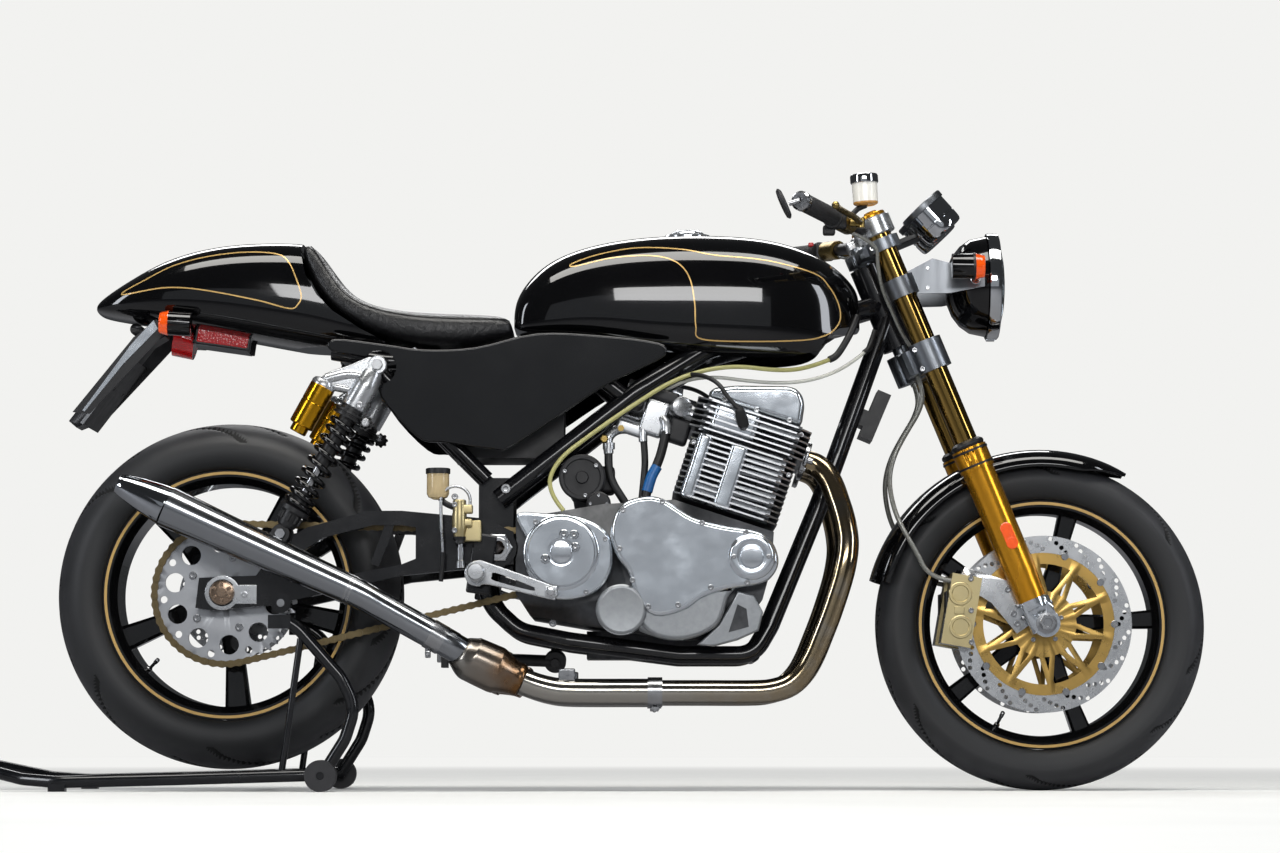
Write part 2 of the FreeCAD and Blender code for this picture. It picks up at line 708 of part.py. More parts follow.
def bars():
    half = -size("fork_half")
    clamp_low = on_fork(760, 0, half)
    clamp_high = on_fork(796, 0, half)
    ring = rod("bar_clamp_ring", clamp_low, clamp_high, 30)
    bore = rod("bar_clamp_bore", on_fork(740, 0, half), on_fork(820, 0, half),
               "size.fork_tube / 2 + size.fit")
    start = on_fork(778, -26, half)
    end = bar_point(1.0)
    bar = rod("bar_right", start, end, "size.bar_tube / 2")
    grip_body = rod("grip_body", bar_point(0.5), bar_point(0.97), "size.grip / 2")
    grip_bore = rod("grip_bore", bar_point(0.4), bar_point(1.2), "size.bar_tube / 2 + size.fit")
    both_sides("grips", cut("grip_right", grip_body, grip_bore))
    end_weight = rod("bar_end_weight", bar_point(0.99), bar_point(1.06), 14)
    stalk = rod("mirror_stalk", bar_point(1.03), offset(bar_point(1.03), (-22, -2, 10)), 5)
    head = block("mirror_head", offset(bar_point(1.03), (-30, -3, -2)), 14, 9, 62, 24)
    right = cut("handlebar_right", fuse("bar_and_clamp", [ring, bar, end_weight, stalk, head]), bore)
    both_sides("handlebars", right)
    body = rod("master_body", bar_point(0.2), bar_point(0.46), 17)
    body_bore = rod("master_bore", bar_point(0.1), bar_point(0.5), "size.bar_tube / 2 + size.fit")
    lever_root = offset(bar_point(0.36), (34, 0, -2))
    lever_tip = offset(bar_point(0.95), (52, 0, -2))
    lug = block("lever_lug", offset(bar_point(0.36), (22, 0, -2)), 34, 16, 16)
    lever = rod("brake_lever", lever_root, lever_tip, 6)
    ball = doc.addObject("Part::Sphere", "lever_ball")
    ball.Radius = 8
    ball.Placement.Base = V(*lever_tip)
    levers = cut("hand_lever_plain", fuse("lever_parts", [body, lug, lever, ball]), body_bore)
    pot_at = offset(bar_point(0.3), (38, 10, 34))
    pot = rod("reservoir_pot", pot_at, offset(pot_at, (-6, 0, 42)), 23)
    cap = rod("reservoir_cap", offset(pot_at, (-6, 0, 42)), offset(pot_at, (-8, 0, 56)), 25)
    arm = rod("reservoir_arm", offset(bar_point(0.3), (4, 4, 0)), offset(pot_at, (0, 0, 4)), 6)
    right_side = cut("hand_lever_right", fuse("lever_parts_right", [body, lug, lever, ball, pot, cap, arm]),
                     body_bore)
    left_side = doc.addObject("Part::Mirroring", "hand_lever_left")
    left_side.Source = levers
    left_side.Normal = V(0, 1, 0)
    together("hand_levers", [right_side, left_side])


def offset(point, by):
    return (point[0] + by[0], point[1] + by[1], point[2] + by[2])


def bar_point(share):
    # A point along the right bar, from its clamp at 0 to its end at 1.
    start = on_fork(778, -26, -size("fork_half"))
    out = (size("bar_half") - size("fork_half")) * share
    return (start[0] - (size("bar_sweep") - 26) * share, start[1] - out, start[2] + 18 * share)


def headlamp():
    radius = size("headlamp") / 2
    face_x = 785
    shell = turned("headlamp_shell", [
        (0, "size.headlamp / 2 - 8"),
        (0, "size.headlamp / 2"),
        (-20, "size.headlamp / 2"),
        (-22, "size.headlamp / 2 - 6"),
        (-52, "size.headlamp / 2 - 12"),
        (-82, "size.headlamp / 2 - 38"),
        (-97, 24),
        (-97, 0),
        (-16, 0),
        (-16, "size.headlamp / 2 - 8"),
    ], (face_x, 0, 923), (0, 0, 1))
    shell.Placement = FreeCAD.Placement(V(face_x, 0, 923), FreeCAD.Rotation(V(0, 1, 0), V(1, 0, 0)))
    lens = turned("headlamp_lens", [
        (-15.7, 0),
        (-15.7, "size.headlamp / 2 - 8.3"),
        (-2, "size.headlamp / 2 - 8.3"),
        (8, "size.headlamp * 0.3"),
        (12, 0),
    ], (face_x, 0, 923))
    lens.Placement = FreeCAD.Placement(V(face_x, 0, 923), FreeCAD.Rotation(V(0, 1, 0), V(1, 0, 0)))
    side = -size("fork_half") - 3
    bolt_x = 735
    bolt_in = -(radius - 9.9)
    bracket = fuse("lamp_bracket_right", [
        plate("bracket_plate", [
            (612, 938), (657, 962), (700, 951), (752, 931), (752, 911), (690, 899), (616, 897),
        ], side, 6),
        rod("bracket_ring", on_fork(640, 0, -size("fork_half")), on_fork(676, 0, -size("fork_half")), 28),
        rod("bracket_bolt", (bolt_x, side + 2, 923), (bolt_x, bolt_in, 923), 7),
    ])
    tube_clear = rod("bracket_bore", on_fork(600, 0, -size("fork_half")), on_fork(720, 0, -size("fork_half")),
                     "size.fork_tube / 2 + size.fit")
    both_sides("lamp_brackets", cut("lamp_bracket", bracket, tube_clear))
    stalk = rod("indicator_stalk", (700, -size("fork_half") - 3.3, 940), (700, -150, 940), 7)
    housing = rod("indicator_housing", (688, -158, 940), (728, -158, 940), 23)
    lens_part = taper("indicator_lens", (728, -158, 940), (746, -158, 940), 24, 20)
    both_sides("front_indicators", fuse("front_indicator", [stalk, housing, lens_part]))


def instruments():
    up = V(-0.68, 0, 0.73)
    pieces = []
    for side in (-52, 52):
        back = V(700, side, 1000)
        face = back + up * 76
        waist = tuple(back + up * 30)
        pieces.append(taper(f"gauge_cup_{side}", tuple(back), waist, 26, "size.gauge / 2 - 4"))
        pieces.append(rod(f"gauge_body_{side}", waist, tuple(face), "size.gauge / 2 - 4"))
        pieces.append(rod(f"gauge_rim_{side}", tuple(face), tuple(face + up * 12), "size.gauge / 2"))
    yoke_front = 12 + size("fit")
    arm_middle = on_fork(size("top_yoke_at"), yoke_front + 38)
    pieces.append(block("gauge_arm", arm_middle, 76, 92, 10, -size("rake")))
    fuse("instruments", pieces)


def brake_hoses():
    start = size("lower_yoke_at") - size("lower_yoke") * 0.4 - size("fit")
    points = [on_fork(start, -30, -54), on_fork(start - 32, -30, -54), (636, -52, 688), (612, -50, 650),
              (588, -48, 606), (578, -60, 561), (585, -76, 512), (600, -84, 474), (626, -84, 430),
              (648, -80, 384.6), (687.6, -80, 377.8)]
    right = tube("brake_hose_right", points, 9, 70)
    both_sides("brake_hoses", right)


# Frame and swingarm

HEAD_LOW = 565
HEAD_HIGH = 726
SIDE_PIVOT = (-30, 74, 236)
SIDE_AXIS = V(0.01336, 0.94248, 0.334)


def side_axis(along):
    # A point on the side stand's hinge line.
    return tuple(V(*SIDE_PIVOT) + SIDE_AXIS * along)


def frame():
    head = rod("head_outside", on_stem(HEAD_LOW), on_stem(HEAD_HIGH), "size.head_tube / 2")
    uppers = []
    downs = []
    rears = []
    for name, side in (("right", -1), ("left", 1)):
        upper = upper_line(side)
        uppers.append(tube(f"upper_tube_{name}", upper, "size.main_tube", 120))
        downs.append(tube(f"down_tube_{name}", down_line(side), "size.cradle_tube", 70))
        strut = [(-150, side * 106, 560), (-343, side * 120, 752)]
        rears.append(rod(f"rear_strut_{name}", strut[0], strut[1], "size.rear_tube / 2"))
        rail = [(96, side * 106, 712), (20, side * 110, 770), (-330, side * 116, 772),
                (-430, side * 100, 790)]
        rears.append(tube(f"seat_rail_{name}", rail, "size.rear_tube", 80))
    bore = rod("head_bore", on_stem(HEAD_LOW - 20), on_stem(HEAD_HIGH + 20), "size.stem / 2 + size.fit")
    gusset = block("pivot_plate_right", (-134, -88, 478), 62, 14, 170)
    gusset_left = block("pivot_plate_left", (-134, 88, 478), 62, 14, 170)
    cross = rod("backbone_cross", (250, -84, 800), (250, 84, 800), 14)
    pivot_room = rod("pivot_room", (PIVOT.x, -200, PIVOT.z), (PIVOT.x, 200, PIVOT.z),
                     "size.pivot_spindle / 2 + size.fit")
    backbone = fuse("backbone_blank", [head, *uppers, gusset, gusset_left, cross])
    cut("frame_backbone", backbone, fuse("backbone_room", [bore, pivot_room]))
    backbone_room = fuse("backbone_clearance", [
        rod("head_clearance", on_stem(HEAD_LOW - 2), on_stem(HEAD_HIGH + 2), "size.head_tube / 2 + size.fit"),
        tube("upper_clear_right", upper_line(-1), "size.main_tube + 2 * size.fit", 120),
        tube("upper_clear_left", upper_line(1), "size.main_tube + 2 * size.fit", 120),
        block("plate_clear_right", (-134, -88, 478), "62 + 2 * size.fit", "14 + 2 * size.fit", 170.6),
        block("plate_clear_left", (-134, 88, 478), "62 + 2 * size.fit", "14 + 2 * size.fit", 170.6),
    ])
    cradle = size("cradle_half")
    crosses = [rod("cradle_cross_front", (330, -98, 243), (330, 98, 243), 12),
               rod("cradle_cross_rear", (-60, -cradle, 280), (-60, cradle, 280), 12)]
    hinge = [rod("side_stand_pin", side_axis(-12), side_axis(24), 8),
             rod("side_stand_lug", side_axis(24), (-30, 96, 270), 9)]
    cut("frame_cradle", fuse("cradle_blank", [*downs, *crosses, *hinge]), backbone_room)
    bridge = rod("rear_bridge", (-330, -116, 772), (-330, 116, 772), 11)
    tray = block("seat_tray", (-330, 0, 784), 180, 150, 5)
    cut("rear_subframe", fuse("subframe_blank", [*rears, bridge, tray]), backbone_room)


def down_line(side):
    out = side * size("cradle_half")
    return [on_stem(625, 0, side * 14), (487, side * 46, 608), (456, side * 54, 525), (361, side * 88, 296),
            (330, side * 98, 243), (196, out, 243), (0, out, 268), (-92, side * 88, 286),
            (-146, side * 82, 336), (-154, side * 84, 400)]


def upper_line(side):
    return [(-128, side * 106, 523), (126, side * 106, 721), (250, side * 84, 800),
            (390, side * 50, 836), on_stem(650, 0, side * 10)]


def swingarm():
    inner = size("arm_inner")
    near = -inner - size("arm_thick")
    right = plate("swingarm_side", [
        (-100, 405), (-100, 462), (-150, 486), (-300, 500), (-360, 500), (-470, 470), (-520, 440),
        (-560, 384), (-662, 380), (-668, 326), (-640, 322), (-540, 330), (-420, 356), (-300, 384),
        (-160, 398),
    ], near, "size.arm_thick")
    window = plate("swingarm_window", [
        (-275, 414), (-275, 470), (-300, 474), (-352, 474), (-440, 452), (-480, 426), (-500, 372),
        (-410, 382), (-300, 404),
    ], near - 2, "size.arm_thick + 4")
    brace = block("swingarm_web", (-335, near + size("arm_thick") / 2, 440), 16, "size.arm_thick - 8", 80, 20)
    side = fuse("swingarm_right", [cut("swingarm_open", right, window), brace])
    reach = inner - size("fit")
    cross = rod("swingarm_cross", (-235, -reach, 428), (-235, reach, 428), 22)
    boss = rod("swingarm_boss", (PIVOT.x, near - 8, PIVOT.z), (PIVOT.x, 4 - inner, PIVOT.z), 34)
    lug = rod("shock_lug", (-514, near - 6, 457), (-514, near + 14, 457), 20)
    peg = rod("stand_peg", (-513, near - 26, 334), (-513, near + 10, 334), 18)
    half = fuse("swingarm_half", [side, boss, lug, peg])
    bores = fuse("swingarm_bores", [
        rod("spindle_bore", (PIVOT.x, -200, PIVOT.z), (PIVOT.x, 200, PIVOT.z),
            "size.pivot_spindle / 2 + size.fit"),
        rod("axle_bore", (REAR[0], -200, REAR[2]), (REAR[0], 200, REAR[2]), "size.axle_radius + size.fit"),
        rod("shock_pin_bore", (-514, -220, 457), (-514, 220, 457), "8 + size.fit"),
    ])
    # The cross tube seats between the sides as a solid of its own, so each is a simple shape to collide with
    right_side = cut("swingarm_right_side", half, bores)
    left_side = doc.addObject("Part::Mirroring", "swingarm_left_side")
    left_side.Source = right_side
    left_side.Normal = V(0, 1, 0)
    together("swingarm", [right_side, left_side, cross])
    spindle = rod("spindle_solid", (PIVOT.x, near - 14, PIVOT.z), (PIVOT.x, -near + 14, PIVOT.z),
                  "size.pivot_spindle / 2")
    hollow = rod("spindle_hollow", (PIVOT.x, -220, PIVOT.z), (PIVOT.x, 220, PIVOT.z), "size.pivot_bore / 2")
    cut("swingarm_spindle", spindle, hollow)
    axle = rod("axle_bar", (REAR[0], near - 14, REAR[2]), (REAR[0], -near + 14, REAR[2]), "size.axle_radius")
    nuts = [rod(f"axle_nut_{name}", (REAR[0], start, REAR[2]), (REAR[0], end, REAR[2]), 23)
            for name, start, end in (("right", near - 12, near - 0.3), ("left", -near + 0.3, -near + 12))]
    fuse("rear_axle", [axle, *nuts])


def rear_shocks():
    side = -size("shock_y") - 8
    top = (-343, side, 759)
    low = (-514, side, 457)
    run = (V(*top) - V(*low))
    unit = run.normalize()

    def along(share):
        return tuple(V(*low) + unit * share)

    eye_top = rod("eye_top", (top[0], side - 12, top[2]), (top[0], side + 12, top[2]), "size.shock_eye / 2")
    eye_low = rod("eye_low", (low[0], side - 12, low[2]), (low[0], side + 12, low[2]), "size.shock_eye / 2")
    head = rod("shock_head", along(238), along(334), 24)
    damper = rod("shock_damper", along(60), along(240), 12)
    foot = rod("shock_foot", along(14), along(50), 14)
    seat = rod("spring_seat", along(44), along(52), "size.spring / 2 + 1")
    collar = rod("spring_collar", along(238), along(250), "size.spring / 2 + 1")
    bores = fuse("shock_bores", [
        rod("eye_bore_top", (top[0], side - 20, top[2]), (top[0], side + 20, top[2]), "8 + size.fit"),
        rod("eye_bore_low", (low[0], side - 20, low[2]), (low[0], side + 20, low[2]), "8 + size.fit"),
    ])
    pins = [
        rod("pin_top", (top[0], side - 18, top[2]), (top[0], -136.2, top[2]), 8),
        rod("pin_low", (low[0], side - 18, low[2]), (low[0], -130, low[2]), 8),
    ]
    parts = [eye_top, eye_low, head, damper, foot, seat, collar]
    outside = rod("spring_outside", along(52.3), along(237.7), "size.spring / 2")
    inside = rod("spring_inside", along(40), along(260), "12 + size.fit")
    both_sides("shock_springs", cut("shock_spring", outside, inside))
    bottle_top = (-437, side - 4, 727)
    bottle_low = (-479, side - 4, 650)
    bottle = rod("reservoir_bottle", bottle_low, bottle_top, 23)
    cap = rod("reservoir_end", offset(bottle_low, (-7, 0, -13)), bottle_low, 19)
    neck = rod("reservoir_neck", (-449, side - 4, 705), along(304), 9)
    unit_body = cut("rear_shock", fuse("shock_parts", [*parts, bottle, cap, neck]), bores)
    both_sides("rear_shocks", together("rear_shock_right", [unit_body, *pins]))


# Engine

def engine():
    half = size("case_half")
    case = plate("crankcase_body", [
        (-96, 486), (-96, 352), (-70, 312), (60, 290), (190, 268), (250, 268), (306, 290), (345, 340),
        (362, 400), (366, 462), (188, 520), (60, 512),
    ], -half, "2 * size.case_half")
    sump = block("sump", (140, 0, 262), 220, 130, 50)
    case_room = rod("case_room", (PIVOT.x, -200, PIVOT.z), (PIVOT.x, 200, PIVOT.z),
                    "size.pivot_spindle / 2 + 12")
    near = -half - size("cover_thick")
    timing = plate("timing_cover_body", [
        (74, 452), (80, 490), (100, 514), (137, 524), (170, 518), (219, 488), (270, 473), (335, 462),
        (362, 442), (373, 410), (364, 384), (340, 368), (283, 358), (240, 344), (207, 322), (164, 310),
        (136, 320), (115, 353), (105, 388), (86, 416),
    ], near, "size.cover_thick - size.fit")
    boss = rod("timing_boss", (323, near - 6, 417), (323, near + 8, 417), 39)
    dome = rod("timing_dome", (323, near - 12, 417), (323, near + 4, 417), 20)
    fuse("timing_cover", [timing, boss, dome])
    filter_can = rod("filter_can", (93, -half - 36, 322), (93, 4 - half, 322), 45)
    low = plate("low_case", [
        (118, 300), (126, 284), (160, 272), (202, 268), (240, 290), (277, 330), (268, 344), (238, 332),
        (205, 308), (164, 298), (134, 306),
    ], -half - 26, 30)
    clear = plate("timing_clear", [
        (73, 452), (79, 491), (100, 516), (137, 525), (171, 519), (220, 489), (271, 474), (336, 463),
        (364, 442), (374, 410), (365, 382), (340, 366), (283, 356), (240, 342), (207, 320), (164, 308),
        (135, 318), (113, 353), (103, 388), (84, 416),
    ], near - 10, "size.cover_thick + 12")
    lower = cut("oil_filter", fuse("filter_blank", [filter_can, low]), clear)
    chain_in = -size("chain_y") - size("chain_width") / 2 - 6
    chain_out = -size("chain_y") + size("chain_width") / 2 + 6
    recess = rod("sprocket_recess", (FRONT_SPROCKET[0], chain_in, FRONT_SPROCKET[2]),
                 (FRONT_SPROCKET[0], chain_out, FRONT_SPROCKET[2]), 66)
    passage = block("chain_passage", (FRONT_SPROCKET[0] - 60, (chain_in + chain_out) / 2, FRONT_SPROCKET[2]),
                    120, chain_out - chain_in, 156)
    case_rooms = fuse("case_rooms", [case_room, recess, passage])
    open_case = cut("crankcase_open", fuse("crankcase_blank", [case, sump, lower]), case_rooms)
    front_pitch = size("chain_pitch") / 2 / math.sin(math.pi / size("front_teeth"))
    tooth_step = math.pi / size("front_teeth")
    driver = rod("gearbox_sprocket", (FRONT_SPROCKET[0], chain_in + 4, FRONT_SPROCKET[2]),
                 (FRONT_SPROCKET[0], chain_out + 4, FRONT_SPROCKET[2]),
                 (front_pitch - size("chain_height") / 2) * math.cos(tooth_step) - size("fit"))
    fuse("crankcase", [open_case, driver])
    inner = rod("gearbox_inner", (-3, -half - 22, 418), (-3, -half - size("fit"), 418), 80)
    disc = rod("gearbox_disc", (-14, -half - 36, 424), (-14, -half - 20, 424), 62)
    cap = rod("gearbox_cap", (-14, -half - 44, 424), (-14, -half - 34, 424), 20)
    cut("gearbox_cover", fuse("gearbox_blank", [inner, disc, cap]), fuse("gearbox_room", [
        plate("timing_clear_again", [(82, 300), (82, 530), (140, 530), (140, 300)], -half - 60, 80),
        rod("gearbox_pivot_room", (PIVOT.x, -220, PIVOT.z), (PIVOT.x, -100, PIVOT.z), 51),
    ]))
    primary = plate("primary_body", [
        (-76, 470), (-76, 370), (-56, 330), (0, 312), (120, 300), (230, 296), (300, 318), (344, 366),
        (352, 420), (330, 470), (280, 496), (180, 506), (40, 506), (-50, 496),
    ], half + size("fit"), 46)
    clutch = rod("clutch_dome", (30, half + 44, 408), (30, half + 62, 408), 78)
    rotor = rod("rotor_dome", (262, half + 44, 402), (262, half + 58, 402), 54)
    fuse("primary_cover", [primary, clutch, rotor])
    finned("cylinder_barrel", size("fit"), size("barrel_fins"), "barrel", 160)
    barrel_top = size("barrel_fins") * size("fin_pitch") + 2 * size("fit")
    finned("cylinder_head", barrel_top, size("head_fins"), "head", 176)
    head_top = barrel_top + size("head_fins") * size("fin_pitch") + size("fit")
    rocker(head_top)
    intake = -size("head_long") / 2 - size("fit")
    fuse("throttle_bodies", [
        *[rod(f"throttle_body_{side}", on_barrel(150, intake, side), on_barrel(150, -200, side), 31)
          for side in (-52, 52)],
        *[rod(f"throttle_trumpet_{side}", on_barrel(150, -198, side), on_barrel(150, -236, side), 34)
          for side in (-52, 52)],
        block("throttle_rail", on_barrel(184, -150), 24, 130, 20, size("lean")),
    ])
    fuse("starter_motor", [
        rod("starter_body", (28, -120, 554), (28, 100, 554), 34),
        block("starter_foot", (25.5, 0, 521.8), 40, 150, 30, -9.46),
    ])
    return head_top


def finned(label, start, fins, part, core_long):
    pieces = []
    pitch = size("fin_pitch")
    long = size(f"{part}_long") / 2
    wide = size(f"{part}_wide") / 2
    count = int(fins)
    tall = count * pitch
    core = block(label + "_core", on_barrel(start + tall / 2), core_long, wide * 2 - 40, tall,
                 size("lean"))
    pieces.append(core)
    for number in range(count):
        up = start + pitch * (number + 0.5) - size("fin_thick") / 2
        pieces.append(fin(f"{label}_fin_{number}", up, long, wide))
    return fuse(label, pieces)


def fin(label, up, long, wide):
    cut_back = 26
    corners = [(long, wide - cut_back), (long - cut_back, wide),
               (cut_back - long, wide), (-long, wide - cut_back),
               (-long, cut_back - wide), (cut_back - long, -wide),
               (long - cut_back, -wide), (long, cut_back - wide)]
    body = doc.addObject("PartDesign::Body", label)
    sketch = sketch_on(body, "XY_Plane")
    draw(sketch, corners)
    pad = body.newObject("PartDesign::Pad", label + "_pad")
    pad.Profile = sketch
    pad.setExpression("Length", "size.fin_thick")
    body.Tip = pad
    body.Placement = FreeCAD.Placement(V(*on_barrel(up)), FreeCAD.Rotation(V(0, 1, 0), size("lean")))
    return body


def rocker(start):
    wide = size("head_wide") / 2 - 24
    low = [(86, wide), (-74, wide), (-74, -wide), (86, -wide)]
    high = [(62, wide - 22), (-52, wide - 22), (-52, 22 - wide), (62, 22 - wide)]
    sections = []
    for number, (up, corners) in enumerate(((start, low), (start + 14, low), (start + 36, high))):
        points = [V(*on_barrel(up, ahead, side)) for ahead, side in corners]
        sections.append(shaped(f"rocker_section_{number}", Part.makePolygon(points + points[:1])))
    loft = doc.addObject("Part::Loft", "rocker_cover")
    loft.Sections = sections
    loft.Solid = True
    loft.Ruled = True


def exhaust():
    side = -size("muffler_y")
    face = size("head_long") / 2 + size("fit")
    port = on_barrel(134, face, -96)
    route = [port, on_barrel(134, face + 36, -96), (482, -122, 528), (498, -140, 464), (486, -150, 395),
             (452, -150, 306), (412, -150, 214), (340, -150, 176), (100, -150, 176), (-24, -150, 178),
             (-84, -156, 196)]
    header = tube("header_right", route, "size.header_tube", 90)
    flange = rod("header_flange", port, on_barrel(134, face + 9, -96), 34)
    link = rod("link_pipe", (330, -150, 176), (-10, -150, 176), "size.link_tube / 2")
    clamp = rod("link_clamp", (140, -150, 176), (166, -150, 176), "size.link_tube / 2 + 3")
    both_sides("header_pipes", fuse("header_pipe", [header, flange, link, clamp]))
    tail_of_header = V(*route[-1])
    onward = (tail_of_header - V(*route[-2])).normalize()
    start = tail_of_header + onward * size("fit")
    swell = start + onward * 62
    cap_start = V(-714, side, 504)
    tip = V(-797, side, 544)
    pipe = size("muffler_front") / 2
    stations = [
        (start, onward, 30),
        (start + onward * 18, onward, 31),
        (swell, onward, 42),
        (V(-176, -172, 236), V(-0.88, -0.16, 0.45), 40),
        (V(-213, -184, 261), V(-0.87, -0.13, 0.48), pipe),
        (V(-374, -208, 350), V(-0.89, -0.08, 0.44), pipe),
        (cap_start, V(-0.9, -0.03, 0.42), size("muffler_rear") / 2),
        (tip, tip - cap_start, size("muffler_tip") / 2),
    ]
    body = loft_of("muffler_blank", [round_section(*station) for station in stations])
    hollow = rod("muffler_bore", (-742, side, 517.5), (-830, side, 560), 13)
    both_sides("mufflers", cut("muffler_right", body, hollow))


def round_section(at, ahead, radius, corners=24):
    # A round section square to the way ahead.
    placing = FreeCAD.Placement(at, turn_to(ahead))
    points = []
    for number in range(corners):
        angle = 2 * math.pi * number / corners
        points.append(placing.multVec(V(radius * math.cos(angle), radius * math.sin(angle), 0)))
    return Part.makePolygon(points + points[:1])


# Bodywork

def oval(x, half, low, high, squareness=2.6, top_share=0.5, corners=20):
    # A closed section across the bike, flatter than a circle.
    middle = low + (high - low) * top_share
    points = []
    for number in range(corners):
        angle = 2 * math.pi * number / corners
        across = math.cos(angle)
        up = math.sin(angle)
        y = half * math.copysign(abs(across) ** (2 / squareness), across)
        reach = (high - middle) if up > 0 else (middle - low)
        z = middle + reach * math.copysign(abs(up) ** (2 / squareness), up)
        points.append(V(x, y, z))
    return Part.makePolygon(points + points[:1])


def loft_of(label, rings, ruled=True):
    sections = [shaped(f"{label}_section_{number}", ring) for number, ring in enumerate(rings)]
    piece = doc.addObject("Part::Loft", label)
    piece.Sections = sections
    piece.Solid = True
    piece.Ruled = ruled
    return piece


def fuel_tank():
    half = size("tank_half")
    rings = [
        oval(-104, half * 0.56, 826, 868, 3.2, 0.35),
        oval(-90, half * 0.66, 822, 912, 3.0, 0.35),
        oval(-40, half * 0.76, 816, 966, 2.8, 0.35),
        oval(60, half * 0.9, 804, 1003, 2.7, 0.4),
        oval(200, half, 781, 1017, 2.7, 0.42),
        oval(340, half * 0.98, 773, 1012, 2.7, 0.45),
        oval(430, half * 0.84, 771, 990, 2.6, 0.5),
        oval(490, half * 0.56, 774, 955, 2.5, 0.5),
        oval(530, half * 0.34, 790, 912, 2.4, 0.5),
    ]
    body = loft_of("tank_body", rings)
    tunnel = block("tank_tunnel", (180, 0, 800), 700, 214, 90)
    nose = rod("tank_nose_room", on_stem(HEAD_LOW - 30), on_stem(HEAD_HIGH + 60), "size.head_tube / 2 + 6")
    tubes = [tube("tank_tube_room_right", upper_line(-1), "size.main_tube + 8", 120),
             tube("tank_tube_room_left", upper_line(1), "size.main_tube + 8", 120)]
    cap_seat = rod("cap_seat", (214, 0, 1008), (214, 0, 1040), 37.3)
    mounts = [rod(f"tank_mount_{name}", (250, side * 50, 814.3), (250, side * 50, 856), 12)
              for name, side in (("right", -1), ("left", 1))]
    hollow = cut("tank_hollow", body, fuse("tank_rooms", [tunnel, nose, *tubes, cap_seat]))
    fuse("fuel_tank", [hollow, *mounts])
    cap = turned("fuel_cap", [(1008.3, 0), (1008.3, 37), (1020, 37), (1026, 30), (1027, 0)], (214, 0, 0))
    cap.Placement = FreeCAD.Placement(V(214, 0, 0), FreeCAD.Rotation(V(1, 0, 0), 90))


# The line, front to back, on which the seat rests on the tail cowl
SEAT_LINE = [(-488, 929), (-470, 913), (-440, 894), (-404, 865), (-340, 825), (-300, 780)]


def seat_and_tail():
    half = size("seat_half")
    rings = [
        oval(-484, half * 0.72, 925, 992, 2.6, 0.4),
        oval(-462, half * 0.8, 912, 985, 2.8, 0.4),
        oval(-436, half * 0.88, 892, 945, 3.0, 0.4),
        oval(-400, half * 0.95, 862, 906, 3.2, 0.4),
        oval(-340, half, 822, 884, 3.4, 0.4),
        oval(-262, half, 804, 867, 3.4, 0.4),
        oval(-190, half * 0.94, 806, 864, 3.4, 0.4),
        oval(-109, half * 0.8, 820, 862, 3.2, 0.4),
    ]
    loft_of("seat_blank", rings)
    tail_half = size("tail_half")
    tail_rings = [
        oval(-868, tail_half * 0.5, 868, 888, 2.4, 0.4),
        oval(-850, tail_half * 0.66, 862, 903, 2.5, 0.4),
        oval(-812, tail_half * 0.8, 856, 930, 2.6, 0.4),
        oval(-745, tail_half * 0.9, 846, 969, 2.7, 0.4),
        oval(-672, tail_half * 0.96, 834, 993, 2.8, 0.4),
        oval(-600, tail_half, 822, 1001, 2.9, 0.4),
        oval(-520, tail_half, 806, 1001, 3.0, 0.4),
        oval(-470, tail_half, 798, 999, 3.0, 0.4),
        oval(-420, tail_half * 0.98, 790, 960, 3.0, 0.4),
        oval(-332, tail_half * 0.98, 782, 900, 3.0, 0.4),
    ]
    loft_of("tail_blank", tail_rings)
    tail_cut_tool = plate("seat_room", [
        (-488, 1100), *SEAT_LINE, (-300, 1100),
    ], -200, 400)
    rail_room = block("tail_rail_room", (-420, 0, 783.15), 200, 260, 42.3)
    cut("tail_cowl", doc.getObject("tail_blank"), fuse("tail_rooms", [tail_cut_tool, rail_room]))
    raised = [(across, up + size("fit")) for across, up in SEAT_LINE]
    seat_tool = plate("tail_room", [
        (-560, 700), (-560, 1100), (-488 + size("fit"), 1100), (-488 + size("fit"), raised[0][1]),
        *raised[1:], (-300, 700),
    ], -200, 400)
    feet = [rod(f"seat_foot_{name}", (-280, side * 50, 786.8), (-280, side * 50, 822), 12)
            for name, side in (("right", -1), ("left", 1))]
    pad = cut("seat_shaped", doc.getObject("seat_blank"), seat_tool)
    fuse("seat_pad", [pad, *feet])


def side_panels():
    outline = [
        (-340, 705), (-272, 632), (-227, 623), (-134, 611), (-107, 614), (66, 727), (156, 770), (176, 788),
        (166, 804), (60, 818), (-60, 822), (-100, 812), (-170, 795), (-262, 792), (-330, 802), (-424, 812),
        (-430, 786), (-352, 768),
    ]
    panel = plate("side_panel", outline, -146, "size.shell * 2")
    clear = rod("panel_shock_room", (-343, -200, 759), (-343, -100, 759), 30)
    bosses = [rod("panel_boss_rear", (-296, -139, 771.8), (-296, -129.7, 771.8), 8),
              rod("panel_boss_front", (-20, -139, 770), (-20, -125, 770), 5)]
    both_sides("side_panels", cut("side_panel_right", fuse("side_panel_blank", [panel, *bosses]), clear))
    block("airbox", (-112, 0, 682), 200, 173.4, 164)


